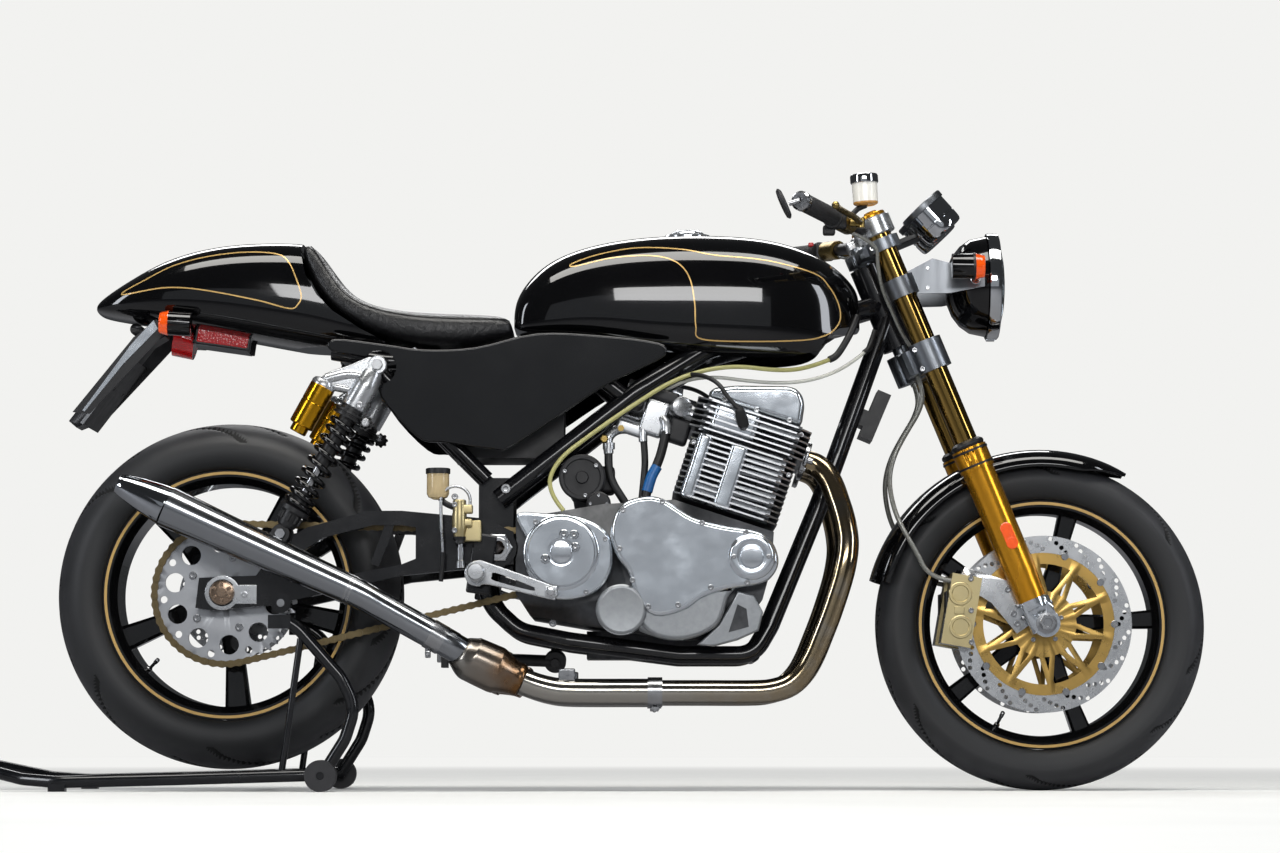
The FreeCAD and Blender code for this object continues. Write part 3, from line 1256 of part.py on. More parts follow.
def rear_end():
    lamp = rod("tail_lamp", (-690, 0, 820), (-728, 0, 828), 33)
    housing = block("lamp_housing", (-640, 0, 822), 100, 96, 32, 8)
    indicators = []
    for side in (-1, 1):
        indicators.append(rod(f"rear_stalk_{side}", (-700, side * 30, 834), (-700, side * 112, 842), 7))
        indicators.append(rod(f"rear_cup_{side}", (-686, side * 118, 840), (-726, side * 118, 842), 22))
        indicators.append(taper(f"rear_lens_{side}", (-726, side * 118, 842), (-742, side * 118, 843),
                                23, 19))
    tail_room = rod("lamp_tail_room", (-600, 0, 900), (-760, 0, 900), 20)
    cut("rear_lamps", fuse("lamp_parts", [lamp, housing, *indicators]),
        fuse("lamp_rooms", [tail_room, tail_clearance("lamp")]))
    arm = plate("plate_arm", [
        (-740, 846), (-770, 848), (-802, 826), (-918, 672), (-904, 660), (-884, 668), (-770, 812),
        (-744, 828),
    ], -32, 64)
    holder = block("plate_holder", (-858, 0, 748), 6, 180, 150, 0)
    lean = FreeCAD.Rotation(V(0, 1, 0), PLATE_LEAN)
    holder.Placement = FreeCAD.Placement(V(PLATE_FOOT[0], -90, PLATE_FOOT[1]), lean)
    light = rod("plate_light", (-796, -40, 840), (-796, 40, 840), 11)
    holes = fuse("plate_holes", [
        rod(f"plate_hole_{side}", on_plate(85, side * 52, -20), on_plate(85, side * 52, 20), 3.5)
        for side in (-1, 1)
    ])
    cut("plate_bracket", fuse("plate_parts", [arm, holder, light]), fuse("plate_rooms", [
        holes, tail_clearance("plate")]))


PLATE_FOOT = (-888, 664)
PLATE_LEAN = 37


def on_plate(up, side, out):
    # A point on the number plate holder, up its slope and out from its face.
    lean = math.radians(PLATE_LEAN)
    return (PLATE_FOOT[0] + math.sin(lean) * up + math.cos(lean) * out, side,
            PLATE_FOOT[1] + math.cos(lean) * up - math.sin(lean) * out)


def tail_clearance(part):
    return plate(f"{part}_tail_clearance", [
        (-880, 868), (-800, 855), (-745, 845.5), (-672, 833.5), (-600, 821.5), (-520, 805.5), (-420, 790),
        (-420, 1000), (-880, 1000),
    ], -90, 180)


def foot_controls():
    near = -232
    arm = plate("brake_arm", [
        (-178, 372), (-150, 366), (-34, 338), (-22, 352), (-30, 366), (-150, 406), (-172, 402),
    ], near, 10)
    slot = plate("brake_arm_slot", [(-132, 370), (-62, 353), (-62, 361), (-132, 385)], near - 2, 14)
    pieces = [cut("brake_arm_open", arm, slot)]
    pieces.append(rod("foot_peg", (-161, near - 74, 384), (-161, near + 12, 384), 15))
    pieces.append(rod("toe_peg", (-31, near - 34, 352), (-31, near + 2, 352), 8))
    pieces.append(block("peg_hanger", (-156, -165.65, 404), 44, 10.7, 110, 8))
    pieces.append(rod("peg_boss", (-161, near + 6, 384), (-161, -163, 384), 17))
    room = rod("hanger_spindle_room", (PIVOT.x, -175, PIVOT.z), (PIVOT.x, -100, PIVOT.z),
               "size.pivot_spindle / 2 + size.fit")
    both_sides("foot_controls", cut("foot_control", fuse("foot_parts", pieces), room))


def rear_brake():
    body = block("master_rear_body", (-195, -192, 484), 24, 26, 66, 0)
    rod_part = rod("master_pushrod", (-191, -192, 400), (-191, -192, 452), 5)
    fuse("rear_brake_master", [
        body, rod_part,
        rod("brake_reservoir", (-234, -180, 526), (-234, -180, 566), 20),
        rod("brake_reservoir_cap", (-234, -180, 564), (-234, -180, 574), 22),
        rod("reservoir_link", (-226, -182, 536), (-199, -190, 512), 6),
        block("master_ear", (-172, -179.15, 462), 34, 15.7, 40),
    ])
    near = size("rear_disc_y") - 20
    far = size("arm_inner") - size("fit")
    at = (REAR[0] + 104, (near + far) / 2, REAR[2] + 64)
    caliper = block("rear_caliper_body", at, 92, far - near, 46, 30)
    slot = turned("rear_caliper_slot", [
        ("size.rear_disc_y - 1", 40), ("size.rear_disc_y - 1", "size.rear_disc_radius + 4"),
        ("size.rear_disc_y + size.disc_thickness + 1", "size.rear_disc_radius + 4"),
        ("size.rear_disc_y + size.disc_thickness + 1", 40),
    ], REAR)
    cut("rear_caliper", caliper, slot)


def small_root_parts():
    body = fuse("regulator_body", [
        block("regulator_case", (556, 0, 682), 26, 70, 92, 23),
        block("regulator_foot", (530, 0, 680), 60, 70, 30, 23),
    ])
    rooms = fuse("regulator_rooms", [
        tube(f"regulator_tube_room_{name}", down_line(side)[:4], "size.cradle_tube + 2 * size.fit", 70)
        for name, side in (("right", -1), ("left", 1))
    ])
    cut("regulator", body, rooms)


def control_cables():
    right = [(-10, -168, 499), (-34, -162, 540), (-16, -150, 588), (44, -142, 640), (116, -138, 690),
             (200, -130, 736), (300, -120, 756), (390, -104, 748), (470, -84, 770)]
    tube("control_cables", right, 8, 120)


def side_stand():
    # Folded up along the left bottom rail, hinged near the frame's lowest cross tube.
    pivot = SIDE_PIVOT
    leg = rod("side_leg", (pivot[0] - 8, pivot[1], pivot[2]), (pivot[0] - 200, pivot[1], pivot[2] + 8), 11)
    head = rod("side_head", side_axis(-9), side_axis(9), 20)
    foot = block("side_foot", (pivot[0] - 204, pivot[1], pivot[2] + 8), 12, 44, 40)
    bore = rod("side_bore", side_axis(-30), side_axis(30), "8 + size.fit")
    cut("side_stand", fuse("side_parts", [leg, head, foot]), bore)


def paddock_stand():
    half = size("stand_half")
    right = []
    side = -half
    rear = size("stand_end") + size("stand_tube") / 2
    rail = [(-430, side, 30), (-700, side, 22), (-904, side, 17), (-970, side + 24, 22),
            (rear, side + 120, 62), (rear, 0, 62)]
    right.append(tube("stand_rail", rail, "size.stand_tube", 60))
    arm = [(-436, side, 28), (-396, side, 92), (-378, side, 150), (-404, side, 202), (-480, side, 288),
           (-506, side, 306)]
    right.append(tube("stand_arm", arm, "size.stand_tube", 70))
    right.append(rod("stand_strut", (-508, side, 30), (-476, side, 270), 6))
    right.append(block("stand_foot", (-904, side, 7), 30, 22, 14))
    right.append(block("stand_cradle", (-513, side, 300), 40, 22, 24))
    right.append(rod("stand_pin", (size("roller_x"), side - 40, 28), (size("roller_x"), side, 28), 7))
    cross = rod("stand_cross", (-560, side, 28), (-560, -side, 28), 9)
    blank = joined_sides("stand_blank", fuse("stand_right", right), [cross])
    pegs = rod("stand_peg_room", (-513, -260, 334), (-513, 260, 334), "18 + size.fit")
    cut("paddock_stand", blank, pegs)
    hub = size("roller_x")
    for name, sign in (("right", -1), ("left", 1)):
        start = sign * (half + 13)
        end = sign * (half + 13 + size("roller_wide"))
        wheel = rod(f"roller_{name}", (hub, start, 28), (hub, end, 28), "size.roller_radius")
        bore = rod(f"roller_bore_{name}", (hub, start - 50, 28), (hub, end + 50, 28), "7 + size.fit")
        cut(f"stand_roller_{name}", wheel, bore)


NODES = [
    "front_tyre", "rear_tyre", "front_rim", "rear_rim", "front_discs",
    "rear_disc", "rear_sprocket", "drive_chain", "fork_tubes", "fork_lowers", "yokes", "front_axle",
    "front_mudguard", "front_calipers", "handlebars", "grips", "hand_levers",
    "headlamp_shell", "headlamp_lens", "lamp_brackets", "front_indicators",
    "instruments", "brake_hoses", "frame_backbone", "frame_cradle", "rear_subframe", "swingarm",
    "swingarm_spindle", "rear_axle", "rear_shocks", "shock_springs",
    "crankcase", "timing_cover", "gearbox_cover", "primary_cover", "cylinder_barrel",
    "cylinder_head", "rocker_cover", "throttle_bodies", "starter_motor", "header_pipes", "mufflers",
    "fuel_tank", "fuel_cap", "seat_pad", "tail_cowl", "side_panels", "airbox", "regulator", "rear_lamps",
    "plate_bracket", "foot_controls", "rear_brake_master", "rear_caliper", "side_stand",
    "paddock_stand", "stand_roller_right", "stand_roller_left", "control_cables",
]


def check_and_write():
    doc.recompute()
    for item in doc.Objects:
        if "Invalid" in item.State or "Error" in item.State:
            raise RuntimeError(f"{item.Label} failed: {item.State}")
    os.makedirs("parts", exist_ok=True)
    for label in NODES:
        shape = doc.getObjectsByLabel(label)[0].Shape
        if shape.isNull() or not shape.isValid():
            raise RuntimeError(f"{label} has no valid shape")
        shape.exportStep(f"parts/{label}.step")
        print(f"{label}: {len(shape.Solids)} solids, {shape.Volume / 1000:.0f} cm3")


wheels()
fork()
front_mudguard()
front_brakes()
bars()
headlamp()
instruments()
brake_hoses()
frame()
swingarm()
rear_shocks()
engine()
exhaust()
fuel_tank()
seat_and_tail()
side_panels()
rear_end()
foot_controls()
rear_brake()
small_root_parts()
control_cables()
side_stand()
paddock_stand()
check_and_write()
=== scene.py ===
# %% [markdown]
# # A cafe racer motorcycle on its paddock stand
# The imported model is the skeleton: every tube, wheel and casting already stands at its real size. This
# script gives it surfaces. It loads the skeleton first, and every piece made later is placed by it, so
# nothing is fitted by eye.

# %% Load the frame
import bmesh
import bpy
import json
import math
from mathutils import Matrix, Vector
from mathutils.bvhtree import BVHTree


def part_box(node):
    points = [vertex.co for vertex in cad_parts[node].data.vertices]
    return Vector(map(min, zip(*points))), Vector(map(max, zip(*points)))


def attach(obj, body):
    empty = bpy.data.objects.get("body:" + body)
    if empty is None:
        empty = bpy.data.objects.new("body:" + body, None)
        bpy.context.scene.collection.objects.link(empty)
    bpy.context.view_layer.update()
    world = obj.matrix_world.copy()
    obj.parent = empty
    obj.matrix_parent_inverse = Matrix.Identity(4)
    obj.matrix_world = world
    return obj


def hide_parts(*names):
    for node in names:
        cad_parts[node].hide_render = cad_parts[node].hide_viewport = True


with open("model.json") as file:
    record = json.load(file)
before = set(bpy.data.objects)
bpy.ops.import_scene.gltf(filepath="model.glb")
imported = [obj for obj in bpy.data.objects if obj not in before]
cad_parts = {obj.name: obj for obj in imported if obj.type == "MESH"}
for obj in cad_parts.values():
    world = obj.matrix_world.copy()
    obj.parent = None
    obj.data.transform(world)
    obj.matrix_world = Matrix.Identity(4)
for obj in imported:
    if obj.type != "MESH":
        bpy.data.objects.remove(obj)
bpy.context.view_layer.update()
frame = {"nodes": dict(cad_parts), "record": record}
MM = 0.001

# %% [markdown]
# ## The camera
# The photograph was taken from the right side with a long lens, low down, tilted up a little. A lens of
# about 100 mm on a 36 mm sensor, 6.5 m away, gives the same flat perspective: both wheels look round.

# %% The camera
scene = bpy.context.scene
DISTANCE = 6.5
LENS = 99.9
TILT_UP = 5.04
camera_data = bpy.data.cameras.new("camera")
camera_data.lens = LENS
camera_data.sensor_width = 36
camera = bpy.data.objects.new("camera", camera_data)
camera.location = (0.1263, -DISTANCE, 0.0915)
camera.rotation_euler = (math.radians(90 + TILT_UP), 0, 0)
scene.collection.objects.link(camera)
scene.camera = camera
scene.view_settings.view_transform = "Standard"
print("camera", DISTANCE, "m away")

# %% [markdown]
# ## Helpers for colour and nodes
# A hex colour is written for the screen, in sRGB. The renderer works in linear light, so one function
# turns the one into the other. A second small function adds a shader node: it takes the node's settings
# and, for each input, either a plain number or the output that feeds it.

# %% Colour and node helpers
def linear(code):
    parts = [int(code[i:i + 2], 16) / 255 for i in (1, 3, 5)]
    return [p / 12.92 if p <= 0.04045 else ((p + 0.055) / 1.055) ** 2.4 for p in parts] + [1.0]


def wire(material, node, inputs):
    for name, source in inputs.items():
        socket = node.inputs[name]
        if isinstance(source, bpy.types.NodeSocket):
            material.node_tree.links.new(source, socket)
        else:
            socket.default_value = linear(source) if isinstance(source, str) else source
    return material


def add(material, kind, settings, **inputs):
    node = material.node_tree.nodes.new("ShaderNode" + kind)
    for name, setting in settings.items():
        setattr(node, name, setting)
    wire(material, node, {name.replace("_", " "): source for name, source in inputs.items()})
    return node


def noise(material, vector, **inputs):
    return add(material, "TexNoise", {}, Vector=vector, **inputs).outputs["Fac"]


def ranged(material, value, from_min, from_max, to_min=0.0, to_max=1.0):
    return add(material, "MapRange", {}, Value=value, From_Min=from_min, From_Max=from_max, To_Min=to_min,
        To_Max=to_max).outputs[0]


def maths(material, kind, operation, first, second=None, clamp=False):
    settings = {"operation": operation, "use_clamp": True} if clamp else {"operation": operation}
    node = add(material, kind, settings)
    wire(material, node, {0: first} if second is None else {0: first, 1: second})
    return node.outputs["Value"] if operation == "LENGTH" else node.outputs[0]


def blend(material, factor, low, high):
    node = add(material, "Mix", {"data_type": "RGBA"}, Factor=factor)
    wire(material, node, {6: low, 7: high})
    return node.outputs[2]


def bumps(material, height, strength, distance, **inputs):
    return add(material, "Bump", {}, Height=height, Strength=strength, Distance=distance * MM,
        **inputs).outputs[0]


def blank(name):
    material = bpy.data.materials.new(name)
    material.use_nodes = True
    shader = material.node_tree.nodes["Principled BSDF"]
    return material, shader, add(material, "TexCoord", {}).outputs["Object"]


print("mid grey in linear light", round(linear("#808080")[0], 3))

# %% [markdown]
# ## One recipe for most finishes
# Paint, plating, castings and plastic differ in colour and gloss, but their surfaces vary in the same
# three ways: a slow mottle in colour and gloss, a fine grain that shows as bump, and a direction in which
# both are stretched. Noise scales are given in millimetres and turned into the texture's own scale, which
# counts cells to a metre.

# %% The shared finish
def finish(name, colour, tint, gloss, metallic=0.0, mottle_mm=30, grain_mm=1.0, depth_mm=0.02,
           stretch=(1, 1, 1), coat=0.0, spread=0.06):
    material, shader, place = blank(name)
    turn = add(material, "Mapping", {}, Vector=place, Scale=stretch).outputs[0]
    mottle = noise(material, turn, Scale=1000 / mottle_mm, Detail=4.0, Roughness=0.55)
    grain = noise(material, turn, Scale=1000 / grain_mm, Detail=2.0)
    return wire(material, shader, {"Base Color": blend(material, mottle, colour, tint),
        "Roughness": ranged(material, mottle, 0.3, 0.7, max(gloss - spread, 0.02), gloss + spread),
        "Normal": bumps(material, grain, 0.6, depth_mm), "Metallic": metallic, "Coat Weight": coat,
        "Specular IOR Level": 0.5 * (1 - 0.85 * coat), "Coat Roughness": 0.03})


print("a 1 mm grain is a noise scale of", round(1 / MM))

# %% [markdown]
# ## Paint, rubber, plastic and leather
# Stove enamel on the bodywork is nearly black and very smooth under lacquer: the coat gives the sharp
# highlight. The frame is powder coated, a little softer. Rubber and moulded plastic have no coat, and a
# grain that scatters the light.

# %% Paints and soft finishes
LACQUER = finish("black_lacquer", "#040405", "#070708", 0.12, 0, 80, 6, 0.004, coat=1.0, spread=0.03)
POWDER = finish("frame_powder_coat", "#08080A", "#101013", 0.24, 0, 40, 1.4, 0.012, coat=0.6)
WHEEL_PAINT = finish("wheel_enamel", "#060607", "#0B0B0C", 0.17, 0, 50, 2, 0.008, coat=0.8)
SATIN = finish("satin_black_paint", "#0D0D0F", "#18181A", 0.42, 0, 30, 0.8, 0.02)
PLASTIC = finish("moulded_abs", "#121214", "#1B1B1E", 0.5, 0, 25, 0.9, 0.03)
HOSE_RUBBER = finish("hose_rubber", "#0B0B0C", "#161617", 0.48, 0, 18, 0.7, 0.02)
GRIP_RUBBER = finish("grip_rubber", "#141416", "#232326", 0.62, 0, 12, 1.1, 0.06)
STAND_PAINT = finish("stand_gloss_paint", "#070809", "#15161A", 0.22, 0, 35, 3, 0.02, coat=0.4)
ROLLER_NYLON = finish("roller_nylon", "#17171A", "#2A2A2D", 0.5, 0, 12, 1.0, 0.04)
print("materials, with the packed ones", len(bpy.data.materials))

# %% [markdown]
# ## Metals
# Anodised aluminium keeps the metal's gloss under a coloured oxide. Polished castings carry faint swirls,
# and a bluish tint that is a painted reflection of the room. Raw castings are grey with a grainy skin.
# Stainless exhaust pipe yellows and browns where it is hot. Each metal keeps the shader's default index of
# refraction.

# %% Metals
GOLD_FORK = finish("gold_anodised_fork", "#DE9F2E", "#CE8E22", 0.27, 0.9, 60, 1.2, 0.003, (1, 1, 0.08))
GOLD_ALLOY = finish("champagne_anodised", "#CDBF94", "#B7A77A", 0.36, 1, 25, 0.7, 0.012)
CARRIER_GOLD = finish("gold_anodised_carrier", "#D0AE68", "#C29C55", 0.3, 1, 30, 0.7, 0.008)
BRONZE = finish("nitride_slider", "#A3854A", "#8C7038", 0.1, 1, 60, 0.8, 0.002, (1, 1, 0.05), spread=0.03)
RESERVOIR_GOLD = finish("gold_reservoir", "#D9A227", "#C18A18", 0.2, 1, 30, 0.7, 0.004)
CHROME = finish("chrome_plate", "#D8DADC", "#C6C9CC", 0.05, 1, 60, 3, 0.001, spread=0.02)
BRIGHT = finish("bright_steel", "#B9BABC", "#9FA0A2", 0.22, 1, 15, 0.6, 0.006)
# The bluish tint is a painted reflection of the room.
POLISHED = finish("hand_polished_alloy", "#D8DBDF", "#BCC4CC", 0.17, 0.9, 45, 42, 0.75, spread=0.07)
CASTING = finish("bead_blasted_alloy", "#A2A5A8", "#85888B", 0.4, 0.85, 14, 1.4, 0.02)
FIN_METAL = finish("machined_fin_alloy", "#D2D4D6", "#B4B6B9", 0.3, 1, 20, 0.9, 0.02)
MACHINED = finish("machined_alloy", "#CCCED0", "#B6B8BB", 0.28, 0.92, 25, 1.2, 0.003)
BRACKET_ALLOY = finish("brushed_bracket", "#84878B", "#6C6F73", 0.36, 1, 30, 1.2, 0.004, (1, 1, 0.1))
YOKE_GREY = finish("grey_anodised_yoke", "#8F9398", "#7B7F85", 0.34, 1, 20, 0.7, 0.01)
print("materials, with the packed ones", len(bpy.data.materials))

# %% [markdown]
# ## Helpers for pieces
# A piece is drawn as a bmesh, in the bike's own place, then kept: it becomes an object, is shaded smooth
# up to a sharp angle, rides on the body that carries it and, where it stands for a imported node, replaces
# it. Lengths are written in millimetres, because that is how the parts are drawn.

# %% Keep a piece
BODY_OF = {node: body for body, nodes in frame["record"]["behaviour"]["bodies"].items() for node in nodes}
MADE = []
RIGHT, LEFT, UP, FORWARD = (0, -1, 0), (0, 1, 0), (0, 0, 1), (1, 0, 0)
SIDES = ((-1, "right"), (1, "left"))


def mm(x, y, z):
    return Vector((x, y, z)) * MM


def link(mesh, name, body, materials, replaces=()):
    for material in materials:
        mesh.materials.append(material)
    piece = bpy.data.objects.new(name, mesh)
    scene.collection.objects.link(piece)
    MADE.append(piece)
    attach(piece, body)
    if replaces:
        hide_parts(*replaces)
    return piece


def keep(bm, name, body, *materials, replaces=(), sharp=35):
    mesh = bpy.data.meshes.new(name)
    bm.to_mesh(mesh)
    bm.free()
    mesh.shade_smooth()
    mesh.set_sharp_from_angle(angle=math.radians(sharp))
    return link(mesh, name, body, materials, replaces)


def tell(what):
    print(what, "made,", len(MADE), "pieces so far")


def make(name, body, material, shapes, both=False, replaces=(), sharp=35):
    # One piece from a list of shapes, each a helper and what it is given.
    bm = bmesh.new()
    for shape, *given in shapes:
        shape(bm, *given)
    if both:
        mirrored(bm)
    return keep(bm, name, body, material, replaces=replaces, sharp=sharp)


def copy_of(node):
    bm = bmesh.new()
    bm.from_mesh(frame["nodes"][node].data)
    bmesh.ops.remove_doubles(bm, verts=bm.verts, dist=0.01 * MM)
    return bm


def paint(node, material):
    frame["nodes"][node].material_slots[0].material = material


def whole(at, out):
    return 0


def zoned(node, materials, zone, cuts=(), sharp=35):
    # A copy of a node whose faces take one of several finishes by where they are.
    bm = copy_of(node)
    for place, normal in cuts:
        bmesh.ops.bisect_plane(bm, geom=bm.verts[:] + bm.edges[:] + bm.faces[:], plane_co=mm(*place),
            plane_no=normal, dist=0.01 * MM)
    for face in bm.faces:
        face.material_index = zone(face.calc_center_median() / MM, face.normal)
    return keep(bm, node + "_finished", BODY_OF[node], *materials, replaces=[node], sharp=sharp)


print("packed pieces", len(BODY_OF))

# %% [markdown]
# ## Turned and milled shapes
# Most small parts are turned on a lathe or cut from bar, so two helpers make nearly all of them. A
# lathe spins an outline of (along the axis, radius) pairs. A brick is a cube, scaled, with its edges
# bevelled as a milled or cast block's are.

# %% Lathe, pin, brick and screw
def aim(axis):
    return Vector(UP).rotation_difference(Vector(axis)).to_matrix()


def lathe(bm, outline, centre, axis=LEFT, steps=48, closed=False):
    turn = aim(axis)
    side = turn @ Vector(FORWARD)
    along = turn @ Vector(UP)
    verts = [bm.verts.new(mm(*centre) + (side * radius + along * reach) * MM) for reach, radius in outline]
    pairs = list(zip(verts, verts[1:])) + ([(verts[-1], verts[0])] if closed else [])
    edges = [bm.edges.new(pair) for pair in pairs]
    before = set(bm.faces)
    bmesh.ops.spin(bm, geom=verts + edges, cent=mm(*centre), axis=along, dvec=(0, 0, 0), angle=2 * math.pi,
        steps=steps, use_merge=True)
    fresh = [face for face in bm.faces if face not in before]
    bmesh.ops.remove_doubles(bm, verts=list({v for f in fresh for v in f.verts}), dist=0.002 * MM)
    fresh = [face for face in bm.faces if face not in before]
    bmesh.ops.recalc_face_normals(bm, faces=fresh)
    return fresh


def pin(bm, radius, low, high, centre, axis=LEFT, steps=48):
    # A plain cylinder along an axis, from one distance to another.
    return lathe(bm, [(low, 0), (low, radius), (high, radius), (high, 0)], centre, axis, steps)


def soften(bm, edges, offset, segments):
    bmesh.ops.bevel(bm, geom=edges, offset=offset * MM, segments=segments, profile=0.5, affect="EDGES",
        material=-1)


def brick(bm, centre, size, bevel=1.0, turn=None):
    spin = (turn or Matrix.Identity(3)).to_4x4()
    matrix = Matrix.Translation(mm(*centre)) @ spin @ Matrix.Diagonal((*[s * MM for s in size], 1))
    made = bmesh.ops.create_cube(bm, size=1, matrix=matrix)
    soften(bm, list({edge for vert in made["verts"] for edge in vert.link_edges}), bevel, 3)


def turned(degrees):
    return Matrix.Rotation(math.radians(degrees), 3, "Y")


def screw(bm, at, axis, radius, tall):
    # A socket head cap screw, its six-sided recess turned as a six-step cone.
    lathe(bm, [(0, radius), (tall * 0.85, radius), (tall, radius * 0.88), (tall, radius * 0.55)], at, axis,
        20)
    lathe(bm, [(tall, radius * 0.55), (tall * 0.5, radius * 0.5), (tall * 0.45, 0)], at, axis, 6)


def screws(bm, spots, y, radius, tall):
    # Screws at points of the side view, their heads facing away from the middle.
    for x, z in spots:
        screw(bm, (x, y, z), (0, math.copysign(1, y), 0), radius, tall)


def mirrored(*batches):
    # Both sides of the bike: everything so far again at the other side.
    for bm in batches:
        made = bmesh.ops.duplicate(bm, geom=bm.verts[:] + bm.edges[:] + bm.faces[:])["geom"]
        bmesh.ops.scale(bm, vec=(1, -1, 1),
            verts=[item for item in made if isinstance(item, bmesh.types.BMVert)])
        bmesh.ops.reverse_faces(bm, faces=[item for item in made if isinstance(item, bmesh.types.BMFace)])


def sheets(count):
    return [bmesh.new() for _ in range(count)]


print("a lathe on its side points", [round(v, 3) for v in aim(LEFT) @ Vector(UP)])

# %% [markdown]
# ## Places taken from the frame
# The wheels' centres and radii are read back from the imported boxes, and the rake of the fork and the
# engine's lean are given here, so a piece that sits on them stays on them.

# %% Shared places
def middle(node):
    low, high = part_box(node)
    return (low + high) / 2 / MM


REAR = middle("rear_tyre")
FRONT = middle("front_tyre")
REAR_RADIUS = (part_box("rear_tyre")[1].z / MM) - REAR.z
FRONT_RADIUS = (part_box("front_tyre")[1].z / MM) - FRONT.z
RAKE = math.radians(22.3)
UP_FORK = Vector((-math.sin(RAKE), 0, math.cos(RAKE)))
AHEAD = Vector((math.cos(RAKE), 0, math.sin(RAKE)))
RAKE_TURN = Matrix.Rotation(-RAKE, 3, "Y")
FORK_FOOT = FRONT - Vector((6, 0, 0))
FORK_HALF = 102
LEAN = math.radians(18)
UP_BARREL = Vector((math.sin(LEAN), 0, math.cos(LEAN)))
ALONG_BARREL = Vector((math.cos(LEAN), 0, -math.sin(LEAN)))
BARREL = Vector((277, 0, 500))


def on_fork(up, ahead=0.0, side=0.0):
    return FORK_FOOT + UP_FORK * up + AHEAD * ahead + Vector((0, side, 0))


def on_leg(up, ahead=0.0, out=0.0):
    # A point on the right fork leg.
    return on_fork(up, ahead, -FORK_HALF + out)


def on_barrel(up, ahead=0.0, side=0.0):
    return BARREL + UP_BARREL * up + ALONG_BARREL * ahead + Vector((0, side, 0))


print("rear wheel", REAR[:], REAR_RADIUS, "front wheel", FRONT[:], FRONT_RADIUS)

# %% [markdown]
# ## Tyre rubber
# Road rubber is nearly black and dull, and dusty towards the crown, where it meets the road. A painted
# map could carry the dust, but the distance from the axle is enough to bring it in.

# %% Tyre rubber
DUST_DEEP = 42


def tyre_rubber(name, centre, radius):
    material, shader, place = blank(name)
    offset = maths(material, "VectorMath", "SUBTRACT", place, centre * MM)
    flat = maths(material, "VectorMath", "MULTIPLY", offset, (1, 0, 1))
    reach = maths(material, "VectorMath", "LENGTH", flat)
    edge = ranged(material, reach, (radius - DUST_DEEP) * MM, radius * MM, 0.0, 0.75)
    worn = maths(material, "Math", "MULTIPLY", edge, noise(material, place, Scale=22, Detail=6.0))
    return wire(material, shader, {"Base Color": blend(material, worn, "#18191B", "#46464A"),
        "Roughness": 0.55, "IOR": 1.52, "Normal": bumps(material, noise(material, place, Scale=1200), 0.5,
        0.05)})


print("dust reaches", DUST_DEEP, "mm in from the crown")

# %% [markdown]
# ## Tyres
# A road tyre is round across its crown and folds in to the bead. Its outline is two quarter ellipses,
# spun round the axle in many steps. The tread is cut by lowering the points that fall in a groove: long
# curved grooves that start near the middle and sweep back over the shoulder, one after the other, those
# of the left side half a step later than those of the right.

# %% Tyre carcass with its grooves
# Faces deep in a groove take a near-black rubber: painted shade in the grooves.
GROOVE_SHADE = finish("groove_painted_shade", "#030303", "#060607", 0.8, 0, 20, 1, 0.01)
GROOVES = 14
GROOVE_WIDE = 15
GROOVE_DEEP = 4.5
GROOVE_START, GROOVE_SHORT, GROOVE_END = 0.1, 0.55, 0.97
SWEEP = 0.62
BEAD_SEAT = 226.4
SHOULDER = 0.72
TYRE_STEPS = 720


def tyre_outline(half, radius, bead, seat):
    drop = half * 0.62
    crown = []
    for step in range(25):
        angle = math.pi / 2 * step / 24
        crown.append((half * math.sin(angle), radius - drop + drop * math.cos(angle)))
    wall = []
    for step in range(1, 11):
        angle = math.pi / 2 * step / 10
        wall.append((bead + (half - bead) * math.cos(angle),
            radius - drop - (radius - drop - seat) * math.sin(angle)))
    right = crown + wall
    return [(-across, up) for across, up in reversed(right)] + right[1:]


def groove_depth(angle, share):
    side = 1 if share > 0 else -1
    share = abs(share)
    if share < GROOVE_START or share > GROOVE_END:
        return 0.0
    sweep = SWEEP * (share - GROOVE_START) ** 0.75
    place = (angle + sweep + (0 if side > 0 else math.pi / GROOVES)) % (2 * math.pi / GROOVES)
    near = min(place, 2 * math.pi / GROOVES - place) * 300
    turn = int((angle + sweep) * GROOVES / 2 / math.pi)
    short = GROOVE_SHORT if turn % 2 else GROOVE_END
    if share > short:
        return 0.0
    fade = min((share - GROOVE_START) / 0.08, (short - share) / 0.08, 1.0)
    return GROOVE_DEEP * fade * max(0.0, min(1.0, (GROOVE_WIDE / 2 - near) / 2.4 + 1))


def tyre(name, node, body, half, radius, centre, bead):
    bm = bmesh.new()
    lathe(bm, tyre_outline(half, radius, bead, BEAD_SEAT), centre, LEFT, TYRE_STEPS)
    inner = radius - half * SHOULDER
    for vert in bm.verts:
        place = vert.co / MM - centre
        reach = math.hypot(place.x, place.z)
        if reach > inner:
            depth = groove_depth(math.atan2(place.z, place.x), place.y / half)
            share = (reach - depth) / reach
            vert.co = (centre + Vector((place.x * share, place.y, place.z * share))) * MM
    for face in bm.faces:
        place = face.calc_center_median() / MM - centre
        cut = groove_depth(math.atan2(place.z, place.x), place.y / half)
        # A face deep in a groove takes the painted shade.
        face.material_index = 1 if cut > 1.5 and math.hypot(place.x, place.z) > inner else 0
    return keep(bm, name, body, tyre_rubber(name + "_rubber", centre, radius), GROOVE_SHADE, replaces=[node],
        sharp=50)


tyre("front_road_tyre", "front_tyre", "front_wheel", 60, FRONT_RADIUS, FRONT, 38)
tyre("rear_road_tyre", "rear_tyre", "rear_wheel", 90, REAR_RADIUS, REAR, 68)
tell("tyres")

